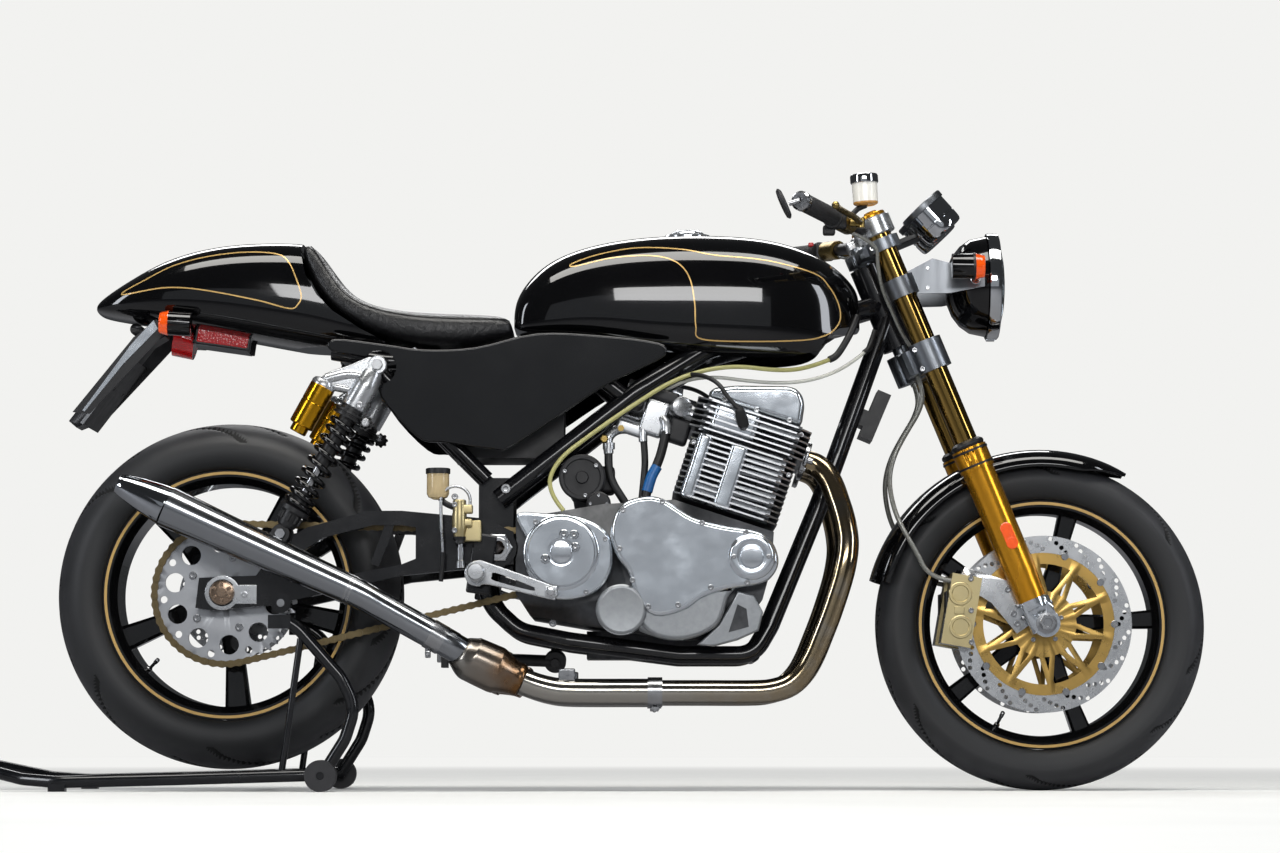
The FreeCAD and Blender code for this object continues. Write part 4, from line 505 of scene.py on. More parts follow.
# %% [markdown]
# ## Cast wheels
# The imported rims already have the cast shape, so they keep it and take wheel enamel. The gold line is a
# narrow painted band on each flange: a ring 5 mm wide that stands 0.15 mm proud, enough to hide the paint
# under it. The valve stem pokes out of the rim's inner face.

# %% Rims, gold lines and valves
GOLD_PAINT = finish("gold_line_paint", "#C7A565", "#B8955A", 0.35, 0.35, 20, 2, 0.002, coat=0.5)
paint("front_rim", WHEEL_PAINT)
paint("rear_rim", WHEEL_PAINT)
LINE_IN, LINE_OUT = 218.2, 223.2


def gold_lines(name, body, centre, half):
    bm = bmesh.new()
    for side in (-1, 1):
        face = side * (half + 0.15)
        back = face - side * 0.4
        lathe(bm, [(face, LINE_IN), (face, LINE_OUT), (back, LINE_OUT), (back, LINE_IN)], centre, LEFT, 160,
            closed=True)
    return keep(bm, name, body, GOLD_PAINT)


gold_lines("front_wheel_lines", "front_wheel", FRONT, 42)
gold_lines("rear_wheel_lines", "rear_wheel", REAR, 72)


def valve(name, body, centre, angle, side):
    bm = bmesh.new()
    out = Vector((math.cos(angle), 0, math.sin(angle)))
    lean = (-out * 0.8 + Vector((0, side * 0.6, 0))).normalized()
    foot = centre + out * 203 + Vector((0, side * 12, 0))
    lathe(bm, [(0, 0), (0, 6), (8, 5), (9, 3), (26, 3), (26.5, 4), (36, 4), (37, 3), (37, 0)], foot, lean, 20)
    return keep(bm, name, body, BRIGHT)


valve("rear_valve", "rear_wheel", REAR, math.radians(222), -1)
valve("front_valve", "front_wheel", FRONT, math.radians(246), -1)
print("gold lines", LINE_OUT - LINE_IN, "mm wide")

# %% [markdown]
# ## Bodywork from rings
# The tank, tail and seat are drawn as rings, one behind the other, like ribs of a boat. Each ring is a
# superellipse: a power above two squares its shoulders. Quads join ring to ring, and a subdivision surface
# then rounds the whole into one smooth skin that catches long unbroken highlights.

# %% Rings and skins
def power_ring(half, square, belly, count=32):
    # Across and up shares of a superellipse; the lower half takes a power of its own.
    for step in range(count):
        angle = 2 * math.pi * step / count
        across, up = math.cos(angle), math.sin(angle)
        power = 2 / (square if up > 0 else belly)
        yield half * math.copysign(abs(across) ** power, across), math.copysign(abs(up) ** power, up)


def section(x, half, low, high, square, share, belly=None):
    centre = low + (high - low) * share
    return [Vector((x, across, centre + (high - centre if up > 0 else centre - low) * up))
        for across, up in power_ring(half, square, belly or square)]


def tilted(top, low, half, square):
    # A ring across the bike whose own up runs from one point of the side view to another.
    start, end = Vector((low[0], 0, low[1])), Vector((top[0], 0, top[1]))
    return [(start + end) / 2 + Vector((0, across, 0)) + (end - start) / 2 * up
        for across, up in power_ring(half, square, square)]


def strip(bm, rows, closed=True):
    # Quads from each row of points to the next.
    count = len(rows[0])
    return [bm.faces.new((near[k], near[(k + 1) % count], far[(k + 1) % count], far[k]))
        for near, far in zip(rows, rows[1:]) for k in range(count if closed else count - 1)]


def skin(rings):
    bm = bmesh.new()
    rows = [[bm.verts.new(point * MM) for point in ring] for ring in rings]
    strip(bm, rows)
    for row in (rows[0], rows[-1]):
        hub = bm.verts.new(sum((vert.co for vert in row), Vector()) / len(row))
        for near, far in zip(row, row[1:] + row[:1]):
            bm.faces.new((near, far, hub))
    bmesh.ops.recalc_face_normals(bm, faces=bm.faces)
    return bm


def smooth(piece):
    rounding = piece.modifiers.new("rounded", "SUBSURF")
    rounding.levels = rounding.render_levels = 2
    return settled(piece)


def settled(piece):
    # The piece with its modifiers worked out, as a mesh of its own.
    shape = bpy.data.meshes.new_from_object(piece.evaluated_get(bpy.context.evaluated_depsgraph_get()))
    piece.modifiers.clear()
    piece.data = shape
    return piece


def carve(piece, cutter_bm, name, sharp=40):
    # Takes one closed shape out of another.
    mesh = bpy.data.meshes.new(name)
    cutter_bm.to_mesh(mesh)
    cutter_bm.free()
    cutter = bpy.data.objects.new(name, mesh)
    scene.collection.objects.link(cutter)
    hole = piece.modifiers.new("hole", "BOOLEAN")
    hole.operation, hole.solver, hole.object = "DIFFERENCE", "EXACT", cutter
    settled(piece)
    bpy.data.objects.remove(cutter)
    piece.data.set_sharp_from_angle(angle=math.radians(sharp))


def prism(bm, outline, low, high):
    # An outline in the side view, drawn through from one y to another.
    near, far = ([bm.verts.new(mm(x, y, z)) for x, z in outline] for y in (low, high))
    faces = [bm.faces.new(near), bm.faces.new(far[::-1])]
    for step in range(len(outline)):
        after = (step + 1) % len(outline)
        faces.append(bm.faces.new((near[after], near[step], far[step], far[after])))
    bmesh.ops.recalc_face_normals(bm, faces=faces)
    return faces


def rounded(points, closed=False, steps=6):
    # A smooth line through the points given.
    found = []
    last = len(points) - 1
    for number in range(last + 1 if closed else last):
        places = [number + k for k in (-1, 0, 1, 2)]
        places = [place % (last + 1) if closed else max(0, min(last, place)) for place in places]
        a, b, c, d = (Vector(points[place]) for place in places)
        for step in range(steps):
            t = step / steps
            square, cube = 2 * a - 5 * b + 4 * c - d, 3 * b - a - 3 * c + d
            found.append(0.5 * (2 * b + (c - a) * t + square * t * t + cube * t * t * t))
    return found if closed else found + [Vector(points[-1])]


def bent(corners, steps):
    # A smooth closed outline through corners of the side view.
    return [(p.x, p.z) for p in rounded([(x, 0, z) for x, z in corners], True, steps)]


def cover(bm, outline, low, high, bevel, segments=5, rims=(0,)):
    # An outline drawn through, with the rims of one end or both rounded.
    faces = prism(bm, outline, low, high)
    soften(bm, [edge for rim in rims for edge in faces[rim].edges], bevel, segments)


print("points in a ring", len(section(0, 1, 0, 1, 2, 0.5)))

# %% [markdown]
# ## Fuel tank
# The tank swells from a rounded rear to its widest at the rider's knees and closes again at the steering
# head. A tunnel is cut along its underside for the frame tubes and the cylinder head's breathing space.

# %% Fuel tank and cap
HALF = 138
TANK_RIBS = [(-103.5, 0.5, 832, 864, 2.8, 0.4), (-101, 0.6, 824, 890, 2.8, 0.38),
    (-90, 0.68, 820, 914, 2.7, 0.36), (-70, 0.73, 816, 941, 2.6, 0.36), (-38, 0.79, 813, 968, 2.6, 0.36),
    (10, 0.86, 810, 989, 2.6, 0.38), (70, 0.92, 803, 1004, 2.6, 0.4), (140, 0.97, 788, 1013, 2.6, 0.41),
    (210, 1, 781, 1016, 2.6, 0.42), (280, 1, 776, 1015, 2.6, 0.43), (350, 0.97, 772.5, 1010, 2.6, 0.45),
    (415, 0.88, 771.5, 995, 2.5, 0.47), (465, 0.72, 772.5, 972, 2.45, 0.5), (502, 0.54, 777, 944, 2.4, 0.5),
    (524, 0.4, 788, 916, 2.3, 0.5), (529, 0.28, 804, 896, 2.2, 0.5)]
tank = keep(skin([section(x, HALF * wide, *rest, 3.8) for x, wide, *rest in TANK_RIBS]), "fuel_tank_shell",
    "root", LACQUER, replaces=["fuel_tank"], sharp=60)
smooth(tank)
TANK_TREE = BVHTree.FromObject(tank, bpy.context.evaluated_depsgraph_get())
tunnel = bmesh.new()
brick(tunnel, (180, 0, 790), (780, 190, 100), 26)
carve(tank, tunnel, "tank_tunnel")
make("filler_cap", "root", POLISHED, [(lathe, [(1004, 44), (1014, 44), (1017.5, 41), (1018, 34), (1018, 31),
    (1021.5, 30), (1024, 27), (1025.6, 18), (1026.3, 0)], (214, 0, 0), UP, 64), (brick, (214, 0, 1026),
    (44, 9, 5), 2)], replaces=["fuel_cap"])
make("filler_screws", "root", BRIGHT, [(screw, (214 + 38 * math.cos(math.radians(angle)),
    38 * math.sin(math.radians(angle)), 1017), UP, 2.6, 2) for angle in range(0, 360, 60)])
print("tank", len(tank.data.polygons), "faces")

# %% [markdown]
# ## Gold coach lines
# A coach line is a thin stripe of paint that follows the panel. Its path is drawn in the side view, then
# thrown onto the surface along the bike's width with a ray, so it lies on every curve. It is a ribbon
# 2.4 mm wide, a quarter of a millimetre proud.

# %% Coach lines on tank and tail
def coach_line(name, tree, points, side, wide=2.4):
    path = rounded([(x, 0, z) for x, z in points], True, 10)
    bm = bmesh.new()
    pairs = []
    for number, point in enumerate(path):
        ahead = (path[(number + 1) % len(path)] - path[number - 1]).normalized()
        across = Vector((ahead.z, 0, -ahead.x))
        pair = []
        for edge in (-0.5, 0.5):
            start = (point + across * wide * edge) * MM + Vector((0, side * 0.4, 0))
            place, normal, _, _ = tree.ray_cast(start, Vector((0, -side, 0)))
            if place is None:
                break
            pair.append(bm.verts.new(place + normal * 0.25 * MM))
        pairs.append(pair if len(pair) == 2 else None)
    for number, (near, far) in enumerate(zip(pairs, pairs[1:] + pairs[:1])):
        if near and far:
            bm.faces.new((near[0], near[1], far[1], far[0]))
    bmesh.ops.recalc_face_normals(bm, faces=bm.faces)
    return keep(bm, name, "root", GOLD_PAINT)


TANK_LINE = [(8, 948), (73, 962), (132, 966), (173, 961), (200, 946), (217, 919), (225, 875), (227, 835),
    (238, 812), (332, 808), (423, 812), (462, 822), (482, 837), (491, 857), (486, 884), (470, 912),
    (446, 934), (380, 952), (330, 960), (262, 966), (200, 978), (120, 982), (50, 970), (4, 954)]
for side, name in SIDES:
    coach_line(f"tank_coach_line_{name}", TANK_TREE, TANK_LINE, side)
tell("tank lines")

# %% [markdown]
# ## Tail cowl and seat
# The racing tail is one hump with its lower edge swept up to a point. The seat's front edge is cut out of
# it along the line where the pad rests.

# %% Tail cowl
TAIL = 118
TAIL_RIBS = [(-868, 0.42, 870, 884, 2.2), (-862, 0.56, 866, 893, 2.3), (-842, 0.68, 861, 909, 2.4),
    (-806, 0.8, 855, 933, 2.5), (-745, 0.9, 846, 969, 2.6), (-672, 0.96, 835, 991, 2.7),
    (-600, 1, 822, 1000, 2.8), (-520, 1, 807, 1001, 2.9), (-470, 1, 798, 998, 2.9),
    (-421, 0.98, 790, 972, 2.9), (-370, 0.98, 785, 930, 2.9), (-334, 0.975, 782, 900, 2.9),
    (-333, 0.97, 782.5, 896, 2.9)]
tail = keep(skin([section(x, TAIL * wide, *rest, 0.4) for x, wide, *rest in TAIL_RIBS]), "tail_cowl_shell",
    "root", LACQUER, replaces=["tail_cowl"], sharp=60)
smooth(tail)
TAIL_TREE = BVHTree.FromObject(tail, bpy.context.evaluated_depsgraph_get())
seat_room = bmesh.new()
prism(seat_room, [(-491, 1100), (-491, 975), (-480, 930), (-459, 894), (-430, 865), (-380, 833), (-330, 807),
    (-300, 790), (-300, 1100)], -200, 200)
carve(tail, seat_room, "seat_room")
rail_room = bmesh.new()
brick(rail_room, (-420, 0, 783), (200, 260, 42), 3)
carve(tail, rail_room, "rail_room")
TAIL_LINE = [(-816, 898), (-770, 926), (-718, 952), (-655, 968), (-588, 975), (-534, 971), (-512, 956),
    (-497, 925), (-487, 893), (-493, 876), (-509, 869), (-567, 884), (-671, 904), (-738, 908)]
for side, name in SIDES:
    coach_line(f"tail_coach_line_{name}", TAIL_TREE, TAIL_LINE, side)
print("tail", len(tail.data.polygons), "faces")

# %% [markdown]
# ## The seat
# The pad is firm foam under stretched leather. It is subdivided, not simulated: on a pad this firm a cloth
# run only copies the foam. Creases are the leather's own: a stretched noise across the pad where it bends
# under the rider, and a fine grain over the rest. A seam runs round where the top panel meets the sides.

# %% Leather and pad
def leather():
    material, shader, place = blank("seat_leather")
    stretch = add(material, "Mapping", {}, Vector=place, Scale=(2.6, 0.35, 2.0)).outputs[0]
    crease_and_shade = noise(material, stretch, Scale=26.0, Detail=5.0, Roughness=0.6, Distortion=0.8)
    pores = add(material, "TexVoronoi", {"feature": "DISTANCE_TO_EDGE"}, Vector=place, Scale=700.0)
    pore = ranged(material, pores.outputs["Distance"], 0.0, 0.25)
    fold = bumps(material, crease_and_shade, 0.9, 2.6)
    # The colour follows the creases and is darker in their hollows: painted shade.
    return wire(material, shader, {"Base Color": blend(material, crease_and_shade, "#0A0A0B", "#19191B"),
        "Roughness": ranged(material, crease_and_shade, 0.3, 0.7, 0.4, 0.28),
        "Normal": bumps(material, pore, 0.35, 0.12, Normal=fold)})


LEATHER = leather()
PAD = [((-478, 990), (-487, 988), 78), ((-470, 988.5), (-489.5, 981), 88), ((-455, 976), (-489, 962), 95),
    ((-430, 940), (-478, 928), 101), ((-405, 907), (-458, 894), 106), ((-372, 885), (-428, 864), 111),
    ((-325, 873), (-384, 833), 116), ((-270, 868), (-318, 805), 120), ((-215, 866), (-245, 795), 121),
    ((-165, 865), (-176, 797), 116), ((-126, 862), (-120, 810), 105), ((-113, 856), (-107, 820), 97),
    ((-108, 846), (-105.5, 830), 88)]
pad = keep(skin([tilted(top, low, half, 3.2) for top, low, half in PAD]), "seat_pad_leather", "root", LEATHER,
    replaces=["seat_pad"], sharp=70)
smooth(pad)
PAD_TREE = BVHTree.FromObject(pad, bpy.context.evaluated_depsgraph_get())


def seat_seam(side):
    # A welt 3 mm thick, laid where the top panel is sewn to the side.
    path = []
    for top, low, half in PAD[1:-1]:
        start = Vector((top[0] * 0.8 + low[0] * 0.2, side * 300, top[1] * 0.8 + low[1] * 0.2)) * MM
        place, normal, _, _ = PAD_TREE.ray_cast(start, Vector((0, -side, 0)))
        if place is not None:
            path.append(place / MM + normal * 0.3)
    return rounded(path)


def ring(bm, centre, side, up, radius, count):
    turns = (2 * math.pi * k / count for k in range(count))
    outs = (side * math.cos(turn) + up * math.sin(turn) for turn in turns)
    return [bm.verts.new((centre + out * radius) * MM) for out in outs]


def hose(bm, path, radius, sides=12):
    # A round tube swept along points, its rings turned as little as they can be.
    path = [Vector(point) for point in path]
    ahead = (path[1] - path[0]).normalized()
    side = ahead.orthogonal().normalized()
    rows = []
    for number, point in enumerate(path):
        if number:
            now = (path[min(number + 1, len(path) - 1)] - path[number - 1]).normalized()
            side = (ahead.rotation_difference(now).to_matrix() @ side).normalized()
            ahead = now
        rows.append(ring(bm, point, side, ahead.cross(side), radius, sides))
    strip(bm, rows)
    bm.faces.new(rows[0][::-1])
    bm.faces.new(rows[-1])


make("seat_welt", "root", LEATHER, [(hose, seat_seam(side), 1.5, 8) for side in (-1, 1)])
tell("bodywork")

# %% [markdown]
# ## Side panels
# Each side panel is a moulded plate with a soft rolled rim, cut away round the shock's upper mount. Its
# outline is a smooth line through the corners measured in the side view.

# %% Side panels
PANEL = [(-340, 705), (-272, 632), (-227, 623), (-134, 611), (-107, 614), (-20, 670), (66, 727), (156, 770),
    (174, 786), (160, 804), (60, 817), (-60, 821), (-170, 796), (-262, 792), (-330, 801), (-424, 811),
    (-429, 788), (-352, 768)]
for side, name in SIDES:
    bm = bmesh.new()
    low, high = sorted((side * 146, side * 138.2))
    cover(bm, bent(PANEL, 4), low, high, 4, 4, (0 if side < 0 else 1,))
    panel = keep(bm, f"side_panel_{name}", "root", LACQUER, replaces=["side_panels"], sharp=50)
    mount_room = bmesh.new()
    pin(mount_room, 31, -20, 20, (-343, side * 142, 759))
    carve(panel, mount_room, "mount_room", 50)
tell("side panels")

# %% [markdown]
# ## Front mudguard
# A thin moulded shell, arched across the tyre and drawn to a point at its front edge. It is swept round
# the wheel's own centre, so the gap over the tyre is even.

# %% Front mudguard
GUARD_RADIUS, GUARD_HALF, GUARD_DROP = 320.5, 70, 34


def mudguard():
    rows = []
    bm = bmesh.new()
    for degree in range(60, 168, 3):
        near_front = max(0.0, (76 - degree) / 16)
        near_rear = max(0.0, (degree - 160) / 7)
        half = GUARD_HALF * (1 - 0.62 * near_front ** 2) * (1 - 0.12 * near_rear ** 2)
        angle = math.radians(degree)
        row = []
        for step in range(25):
            share = -1 + step / 12
            across = half * math.sin(share * math.pi / 2)
            drop = GUARD_DROP * (1 - math.cos(share * math.pi / 2)) ** 1.35 * (1 - 0.75 * near_front)
            reach = GUARD_RADIUS - drop
            row.append(bm.verts.new(mm(FRONT.x + reach * math.cos(angle), across,
                FRONT.z + reach * math.sin(angle))))
        rows.append(row)
    strip(bm, rows, False)
    bmesh.ops.recalc_face_normals(bm, faces=bm.faces)
    piece = keep(bm, "front_mudguard_shell", "steering", LACQUER, replaces=["front_mudguard"], sharp=50)
    thick = piece.modifiers.new("shell", "SOLIDIFY")
    thick.thickness = 3 * MM
    thick.offset = -1
    settled(piece)
    return piece


guard = mudguard()
print("mudguard", [round(v, 3) for v in guard.data.vertices[0].co])

# %% [markdown]
# ## Front brakes
# Each disc is a steel ring on a gold carrier, held by ten bobbins. The ring is drilled so that water and
# dust can leave: four holes in a slanting row, again and again round it. The holes are cut with one closed
# cutter made of all the drills. Each caliper is a champagne block with two round piston caps.

# %% Discs, bobbins and calipers
def polar(centre, radius, degrees, y):
    angle = math.radians(degrees)
    return (centre.x + radius * math.cos(angle), y, centre.z + radius * math.sin(angle))


def drills(centre, rows, start_radius, step_radius, slant, reach, low, high, bore=4.2):
    bm = bmesh.new()
    for row in range(rows):
        for hole in range(reach):
            place = polar(centre, start_radius + step_radius * hole, 360 / rows * row + slant * hole, low)
            lathe(bm, [(0, 0), (0, bore), (high - low, bore), (high - low, 0)], place, LEFT, 12)
    return bm


discs = zoned("front_discs", [MACHINED, CARRIER_GOLD],
    lambda at, out: int(math.hypot(at.x - FRONT.x, at.z - FRONT.z) <= 128), sharp=40)
carve(discs, drills(FRONT, 20, 136, 6.3, 4.2, 4, -75, -60), "right_drills")
carve(discs, drills(FRONT, 20, 136, 6.3, 4.2, 4, 60, 75), "left_drills")
make("front_disc_bobbins", "front_wheel", BRIGHT, [(lathe, [(0, 0), (0, 6), (1, 7), (7.2, 7), (8, 6),
    (8, 3.5), (6.5, 3), (6.5, 0)], polar(FRONT, 128.5, 36 * number, -70.4), LEFT,
    20) for number in range(10)], both=True)
make("front_disc_bolts", "front_wheel", BRIGHT, [(screw, polar(FRONT, 34, 72 * number + 20, -69.2), RIGHT,
    4.5, 4.5) for number in range(5)], both=True)

rear_disc = keep(copy_of("rear_disc"), "rear_disc_drilled", "rear_wheel", MACHINED, replaces=["rear_disc"],
    sharp=40)
carve(rear_disc, drills(REAR, 24, 82, 7, 5, 4, 95, 110), "rear_drills")

CALIPER = FRONT + Vector((152 * math.cos(math.radians(171)), -66.5, 152 * math.sin(math.radians(171))))


def caliper_zone(at, out):
    inside = abs(at.x - CALIPER.x) < 27.5 and abs(at.z - CALIPER.z) < 64.5
    return 0 if inside and not (80.8 < abs(at.y) < 90.2 and at.x > CALIPER.x + 26) else 1


zoned("front_calipers", [GOLD_ALLOY, MACHINED], caliper_zone, sharp=30)
make("caliper_caps", "steering", GOLD_ALLOY, [*((lathe, [(-2, 21), (2.2, 21), (3, 20), (3, 15.5), (1.6, 14.5),
    (1.6, 0)], (CALIPER.x - 2, CALIPER.y - 28.6, CALIPER.z + rise), RIGHT, 40) for rise in (-30, 30)), (brick,
    (CALIPER.x - 4, CALIPER.y - 29.4, CALIPER.z), (18, 3, 14), 1)], both=True)
make("caliper_bolts", "steering", BRIGHT, [(screws, [(CALIPER.x + 17,
    CALIPER.z + rise) for rise in (-57, 0, 57)], CALIPER.y - 28.6, 5, 4), (screws, [(722, 384), (790, 362),
    (806, 300), (800, 318)], -89.6, 5.5, 5)], both=True)
make("caliper_pads_and_bleeds", "steering", SATIN, [(brick, (CALIPER.x - 26.4, CALIPER.y - 2, CALIPER.z),
    (3, 34, 70), 1), (lathe, [(0, 0), (0, 5), (6, 5), (6, 3), (11, 3), (11, 0)],
    (CALIPER.x + 6, CALIPER.y - 6, CALIPER.z + 63), (-0.2, 0, 1), 16)], both=True)
tell("brakes")

# %% [markdown]
# ## Fork
# The lower legs are anodised gold with a machined silver foot. The thin upper tubes are dark bronze: a
# nitride coat. Each leg is cut with a plane where the finish changes, so the line between is clean.

# %% Fork legs
zoned("fork_lowers", [GOLD_FORK, POLISHED], lambda at, out: int((at - FORK_FOOT).dot(UP_FORK) < 47),
    cuts=[(on_fork(47), UP_FORK)], sharp=40)
paint("fork_tubes", BRONZE)
paint("front_axle", BRIGHT)
bm = bmesh.new()
for up in (306, 334):
    lathe(bm, [(0, 32.1), (0, 33.2), (4, 33.2), (4, 32.1)], on_leg(up, 0), UP_FORK, 64, closed=True)
lathe(bm, [(0, 22), (0, 29), (5, 31), (9, 30), (13, 25), (14, 22)], on_leg(342, 0), UP_FORK, 64)
mirrored(bm)
keep(bm, "fork_seals", "steering", SATIN)
make("fork_caps", "steering", GOLD_FORK, [(lathe, [(0, 0), (0, 24.4), (2, 25.2), (11, 25.2), (13, 24),
    (13, 12), (17, 12), (18, 11), (18, 5), (16, 5), (16, 0)], on_leg(789, 0), UP_FORK, 48)], both=True)
bm = bmesh.new()
for up in (4, 30):
    place = on_leg(up, 27.5, 2)
    screw(bm, place, AHEAD, 4.5, 5)
for up, ahead in ((46, -25.6), (22, -25.6)):
    screw(bm, on_leg(up, ahead, 4), -AHEAD, 4, 4)
for up in (505, 542):
    screw(bm, on_leg(up, -24, -19), RIGHT, 5, 5)
screw(bm, on_leg(742, -24, -19), RIGHT, 4.5, 5)
lathe(bm, [(0, 15), (5, 15), (6, 14), (6, 9), (3, 8), (3, 0)], (FRONT.x, -139.5, FRONT.z), RIGHT, 6)
lathe(bm, [(0, 19), (3, 19), (3.5, 12.6)], (FRONT.x, -119, FRONT.z), RIGHT, 40)
mirrored(bm)
keep(bm, "fork_bolts", "steering", BRIGHT)
zoned("yokes", [YOKE_GREY], whole, sharp=30)
tell("fork legs")

# %% [markdown]
# ## Reflectors
# An orange reflector is clear plastic over a moulded pattern of small prisms. Real prisms would be lost
# at this size, so a cell texture paints the prisms' shade into the colour and tilts the normal instead. The
# red lamps share it.

# %% Reflectors
def lens_plastic(name, colour, glow):
    material, shader, place = blank(name)
    lattice = add(material, "TexVoronoi", {}, Vector=place, Scale=260.0).outputs["Distance"]
    step = ranged(material, lattice, 0.0, 1.0, 0.8, 1.1)
    # The darker colour at the cells' centres is painted shade standing in for the prisms' facets.
    return wire(material, shader, {"Base Color": blend(material, step, glow, colour),
        "Normal": bumps(material, lattice, 0.5, 0.5), "Roughness": 0.12, "Coat Weight": 1.0})


AMBER = lens_plastic("amber_lens", "#E4510A", "#B23403")
RUBY = lens_plastic("red_lens", "#A30D10", "#5D0407")
make("fork_reflectors", "steering", AMBER, [*((lathe, [(0, 11), (2.6, 11), (3.4, 10), (3.6, 0)],
    on_leg(168 + up, 3, -28.4), RIGHT, 32) for up in (-14, 14)), (brick, on_leg(168, 3, -30), (21, 3.2, 28),
    1, RAKE_TURN)], both=True)
tell("fork")

# %% [markdown]
# ## Headlamp
# The lamp is a black bowl with a chrome rim, a clear fluted lens and a bright bowl-shaped mirror behind
# it. Glass is a transmitting shader that keeps its normal index, and two thin shells make the lens.

# %% Glass and headlamp
def clear_glass(name, tint, rough):
    material, shader, place = blank(name)
    ripple = bumps(material, noise(material, place, Scale=60.0), 0.15, 0.3)
    return wire(material, shader, {"Base Color": tint, "Roughness": rough, "Transmission Weight": 1.0,
        "IOR": 1.5, "Normal": ripple})


GLASS = clear_glass("lamp_glass", "#F6FAFC", 0.02)
LAMP = (785, 0, 923)
make("headlamp_bowl", "steering", LACQUER, [(lathe, [(-8, 84), (-22, 91), (-24, 92.4), (-52, 86.5), (-70, 74),
    (-84, 56), (-94, 32), (-97, 12), (-97, 0)], LAMP, FORWARD, 96)], replaces=["headlamp_shell"])
make("headlamp_rim", "steering", CHROME, [(lathe, [(-22, 93), (-21.5, 97.6), (-18, 98.5), (-8, 98.5),
    (-2, 97.4), (0, 95), (0, 91), (-3, 89.6), (-8, 89), (-12, 89)], LAMP, FORWARD, 128), (brick,
    (771, 0, 824.6), (16, 12, 5), 1.5)])
make("headlamp_mirror", "steering", CHROME, [(lathe, [(-8, 89), (-9, 88.5), (-30, 76), (-52, 54), (-64, 30),
    (-66, 16), (-66, 0)], LAMP, FORWARD, 96), (lathe, [(-50, 0), (-50, 13), (-46, 14), (-42, 13), (-40, 8),
    (-40, 0)], LAMP, FORWARD, 40)])
make("headlamp_glass", "steering", GLASS, [(lathe, [(-7, 90), (-2.5, 89.6), (3, 76), (8, 54), (11, 28),
    (12, 0)], LAMP, FORWARD, 96), (lathe, [(-7, 90), (-5, 88), (0.5, 75), (5, 53), (8, 27), (9, 0)], LAMP,
    FORWARD, 96)], replaces=["headlamp_lens"])
zoned("lamp_brackets", [BRACKET_ALLOY], whole, sharp=30)
make("bracket_screws", "steering", BRIGHT, [(screw, (735, -105, 923), RIGHT, 9, 5), (screws, [(648, 944),
    (648, 908)], -105, 3.5, 3)], both=True)
tell("headlamp")

# %% [markdown]
# ## Indicators
# Each indicator is a black cup with an orange lens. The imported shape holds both, so it is cut by a plane
# where the lens starts, and its faces take their finish by side. A dark bezel covers the cut.

# %% Indicators
zoned("front_indicators", [LACQUER, AMBER], lambda at, out: int(at.x > 727.8), cuts=[((728, 0, 0), FORWARD)],
    sharp=40)
make("indicator_bezels", "steering", SATIN, [(lathe, [(-1, 21), (-2, 23.9), (1, 24.6), (2.5, 24.3), (3, 23)],
    (727, -158, 940), FORWARD, 48)], both=True)
tell("indicators")

# %% [markdown]
# ## Instruments
# Each instrument is turned: a chrome cup, a brushed grey bezel, a plain white dial and a pane. The dial
# could be a picture, but small bricks set round it by one loop stay sharp however near the camera comes.

# %% Instruments
MARKS, DIAL_FROM, DIAL_SWEEP, NEEDLE_AT = 24, -130, 260, -118


def dial_face():
    material, shader, place = blank("dial_face")
    speck = noise(material, place, Scale=240.0)
    return wire(material, shader, {"Base Color": blend(material, speck, "#E8E8E4", "#D8D8D4"),
        "Roughness": 0.5})


UP_GAUGE = Vector((-0.68, 0, 0.73)).normalized()
DIAL = dial_face()
cups, bezels, dials, marks, panes = sheets(5)
for side in (-52, 52):
    back = Vector((700, side, 1000))
    lathe(cups, [(22, 0), (22, 34), (23, 37.6), (27, 39.8), (34, 40.6), (44, 41), (45, 39.8), (47, 39.8),
        (48, 41), (76, 41.4), (77, 43.2), (81, 43.6)], back, UP_GAUGE, 64)
    lathe(bezels, [(76, 42), (77, 44.4), (86, 45), (88.4, 43.8), (88.4, 39.5), (84, 38.6), (80, 38.2)], back,
        UP_GAUGE, 64)
    lathe(dials, [(80.4, 39), (80.4, 0)], back, UP_GAUGE, 48)
    lathe(panes, [(86.6, 39.4), (87.2, 0)], back, UP_GAUGE, 48)
    across = UP_GAUGE.orthogonal().normalized()
    for number in range(MARKS + 1):
        turn = Matrix.Rotation(math.radians(DIAL_FROM + DIAL_SWEEP * number / MARKS), 3, UP_GAUGE)
        out = turn @ (UP_GAUGE.cross(Vector(LEFT)).normalized())
        long = 6 if number % 4 == 0 else 3
        frame_turn = Matrix((UP_GAUGE.cross(out), out, UP_GAUGE)).transposed()
        brick(marks, back + UP_GAUGE * 80.8 + out * (34 - long / 2), (1.1, long, 0.5), 0.1, frame_turn)
    needle = (Matrix.Rotation(math.radians(NEEDLE_AT), 3, UP_GAUGE)
              @ UP_GAUGE.cross(Vector(LEFT)).normalized())
    turn = Matrix((UP_GAUGE.cross(needle), needle, UP_GAUGE)).transposed()
    brick(marks, back + UP_GAUGE * 82.4 + needle * 12, (1.6, 36, 0.7), 0.2, turn)
    lathe(marks, [(80.4, 0), (80.4, 5), (83.4, 4.6), (83.4, 0)], back, UP_GAUGE, 24)
keep(cups, "gauge_cups", "steering", CHROME, replaces=["instruments"])
keep(bezels, "gauge_bezels", "steering", BRACKET_ALLOY)
keep(dials, "gauge_dials", "steering", DIAL)
keep(marks, "gauge_marks", "steering", PLASTIC)
keep(panes, "gauge_glass", "steering", GLASS)
make("gauge_shelf", "steering", SATIN, [(brick, on_fork(742, 50.3), (76, 92, 10), 2, RAKE_TURN),
    *((pin, 8, 0, 6, on_fork(747, 66, side), UP_FORK, 24) for side in (-30, 30))])
tell("lamp and gauges")

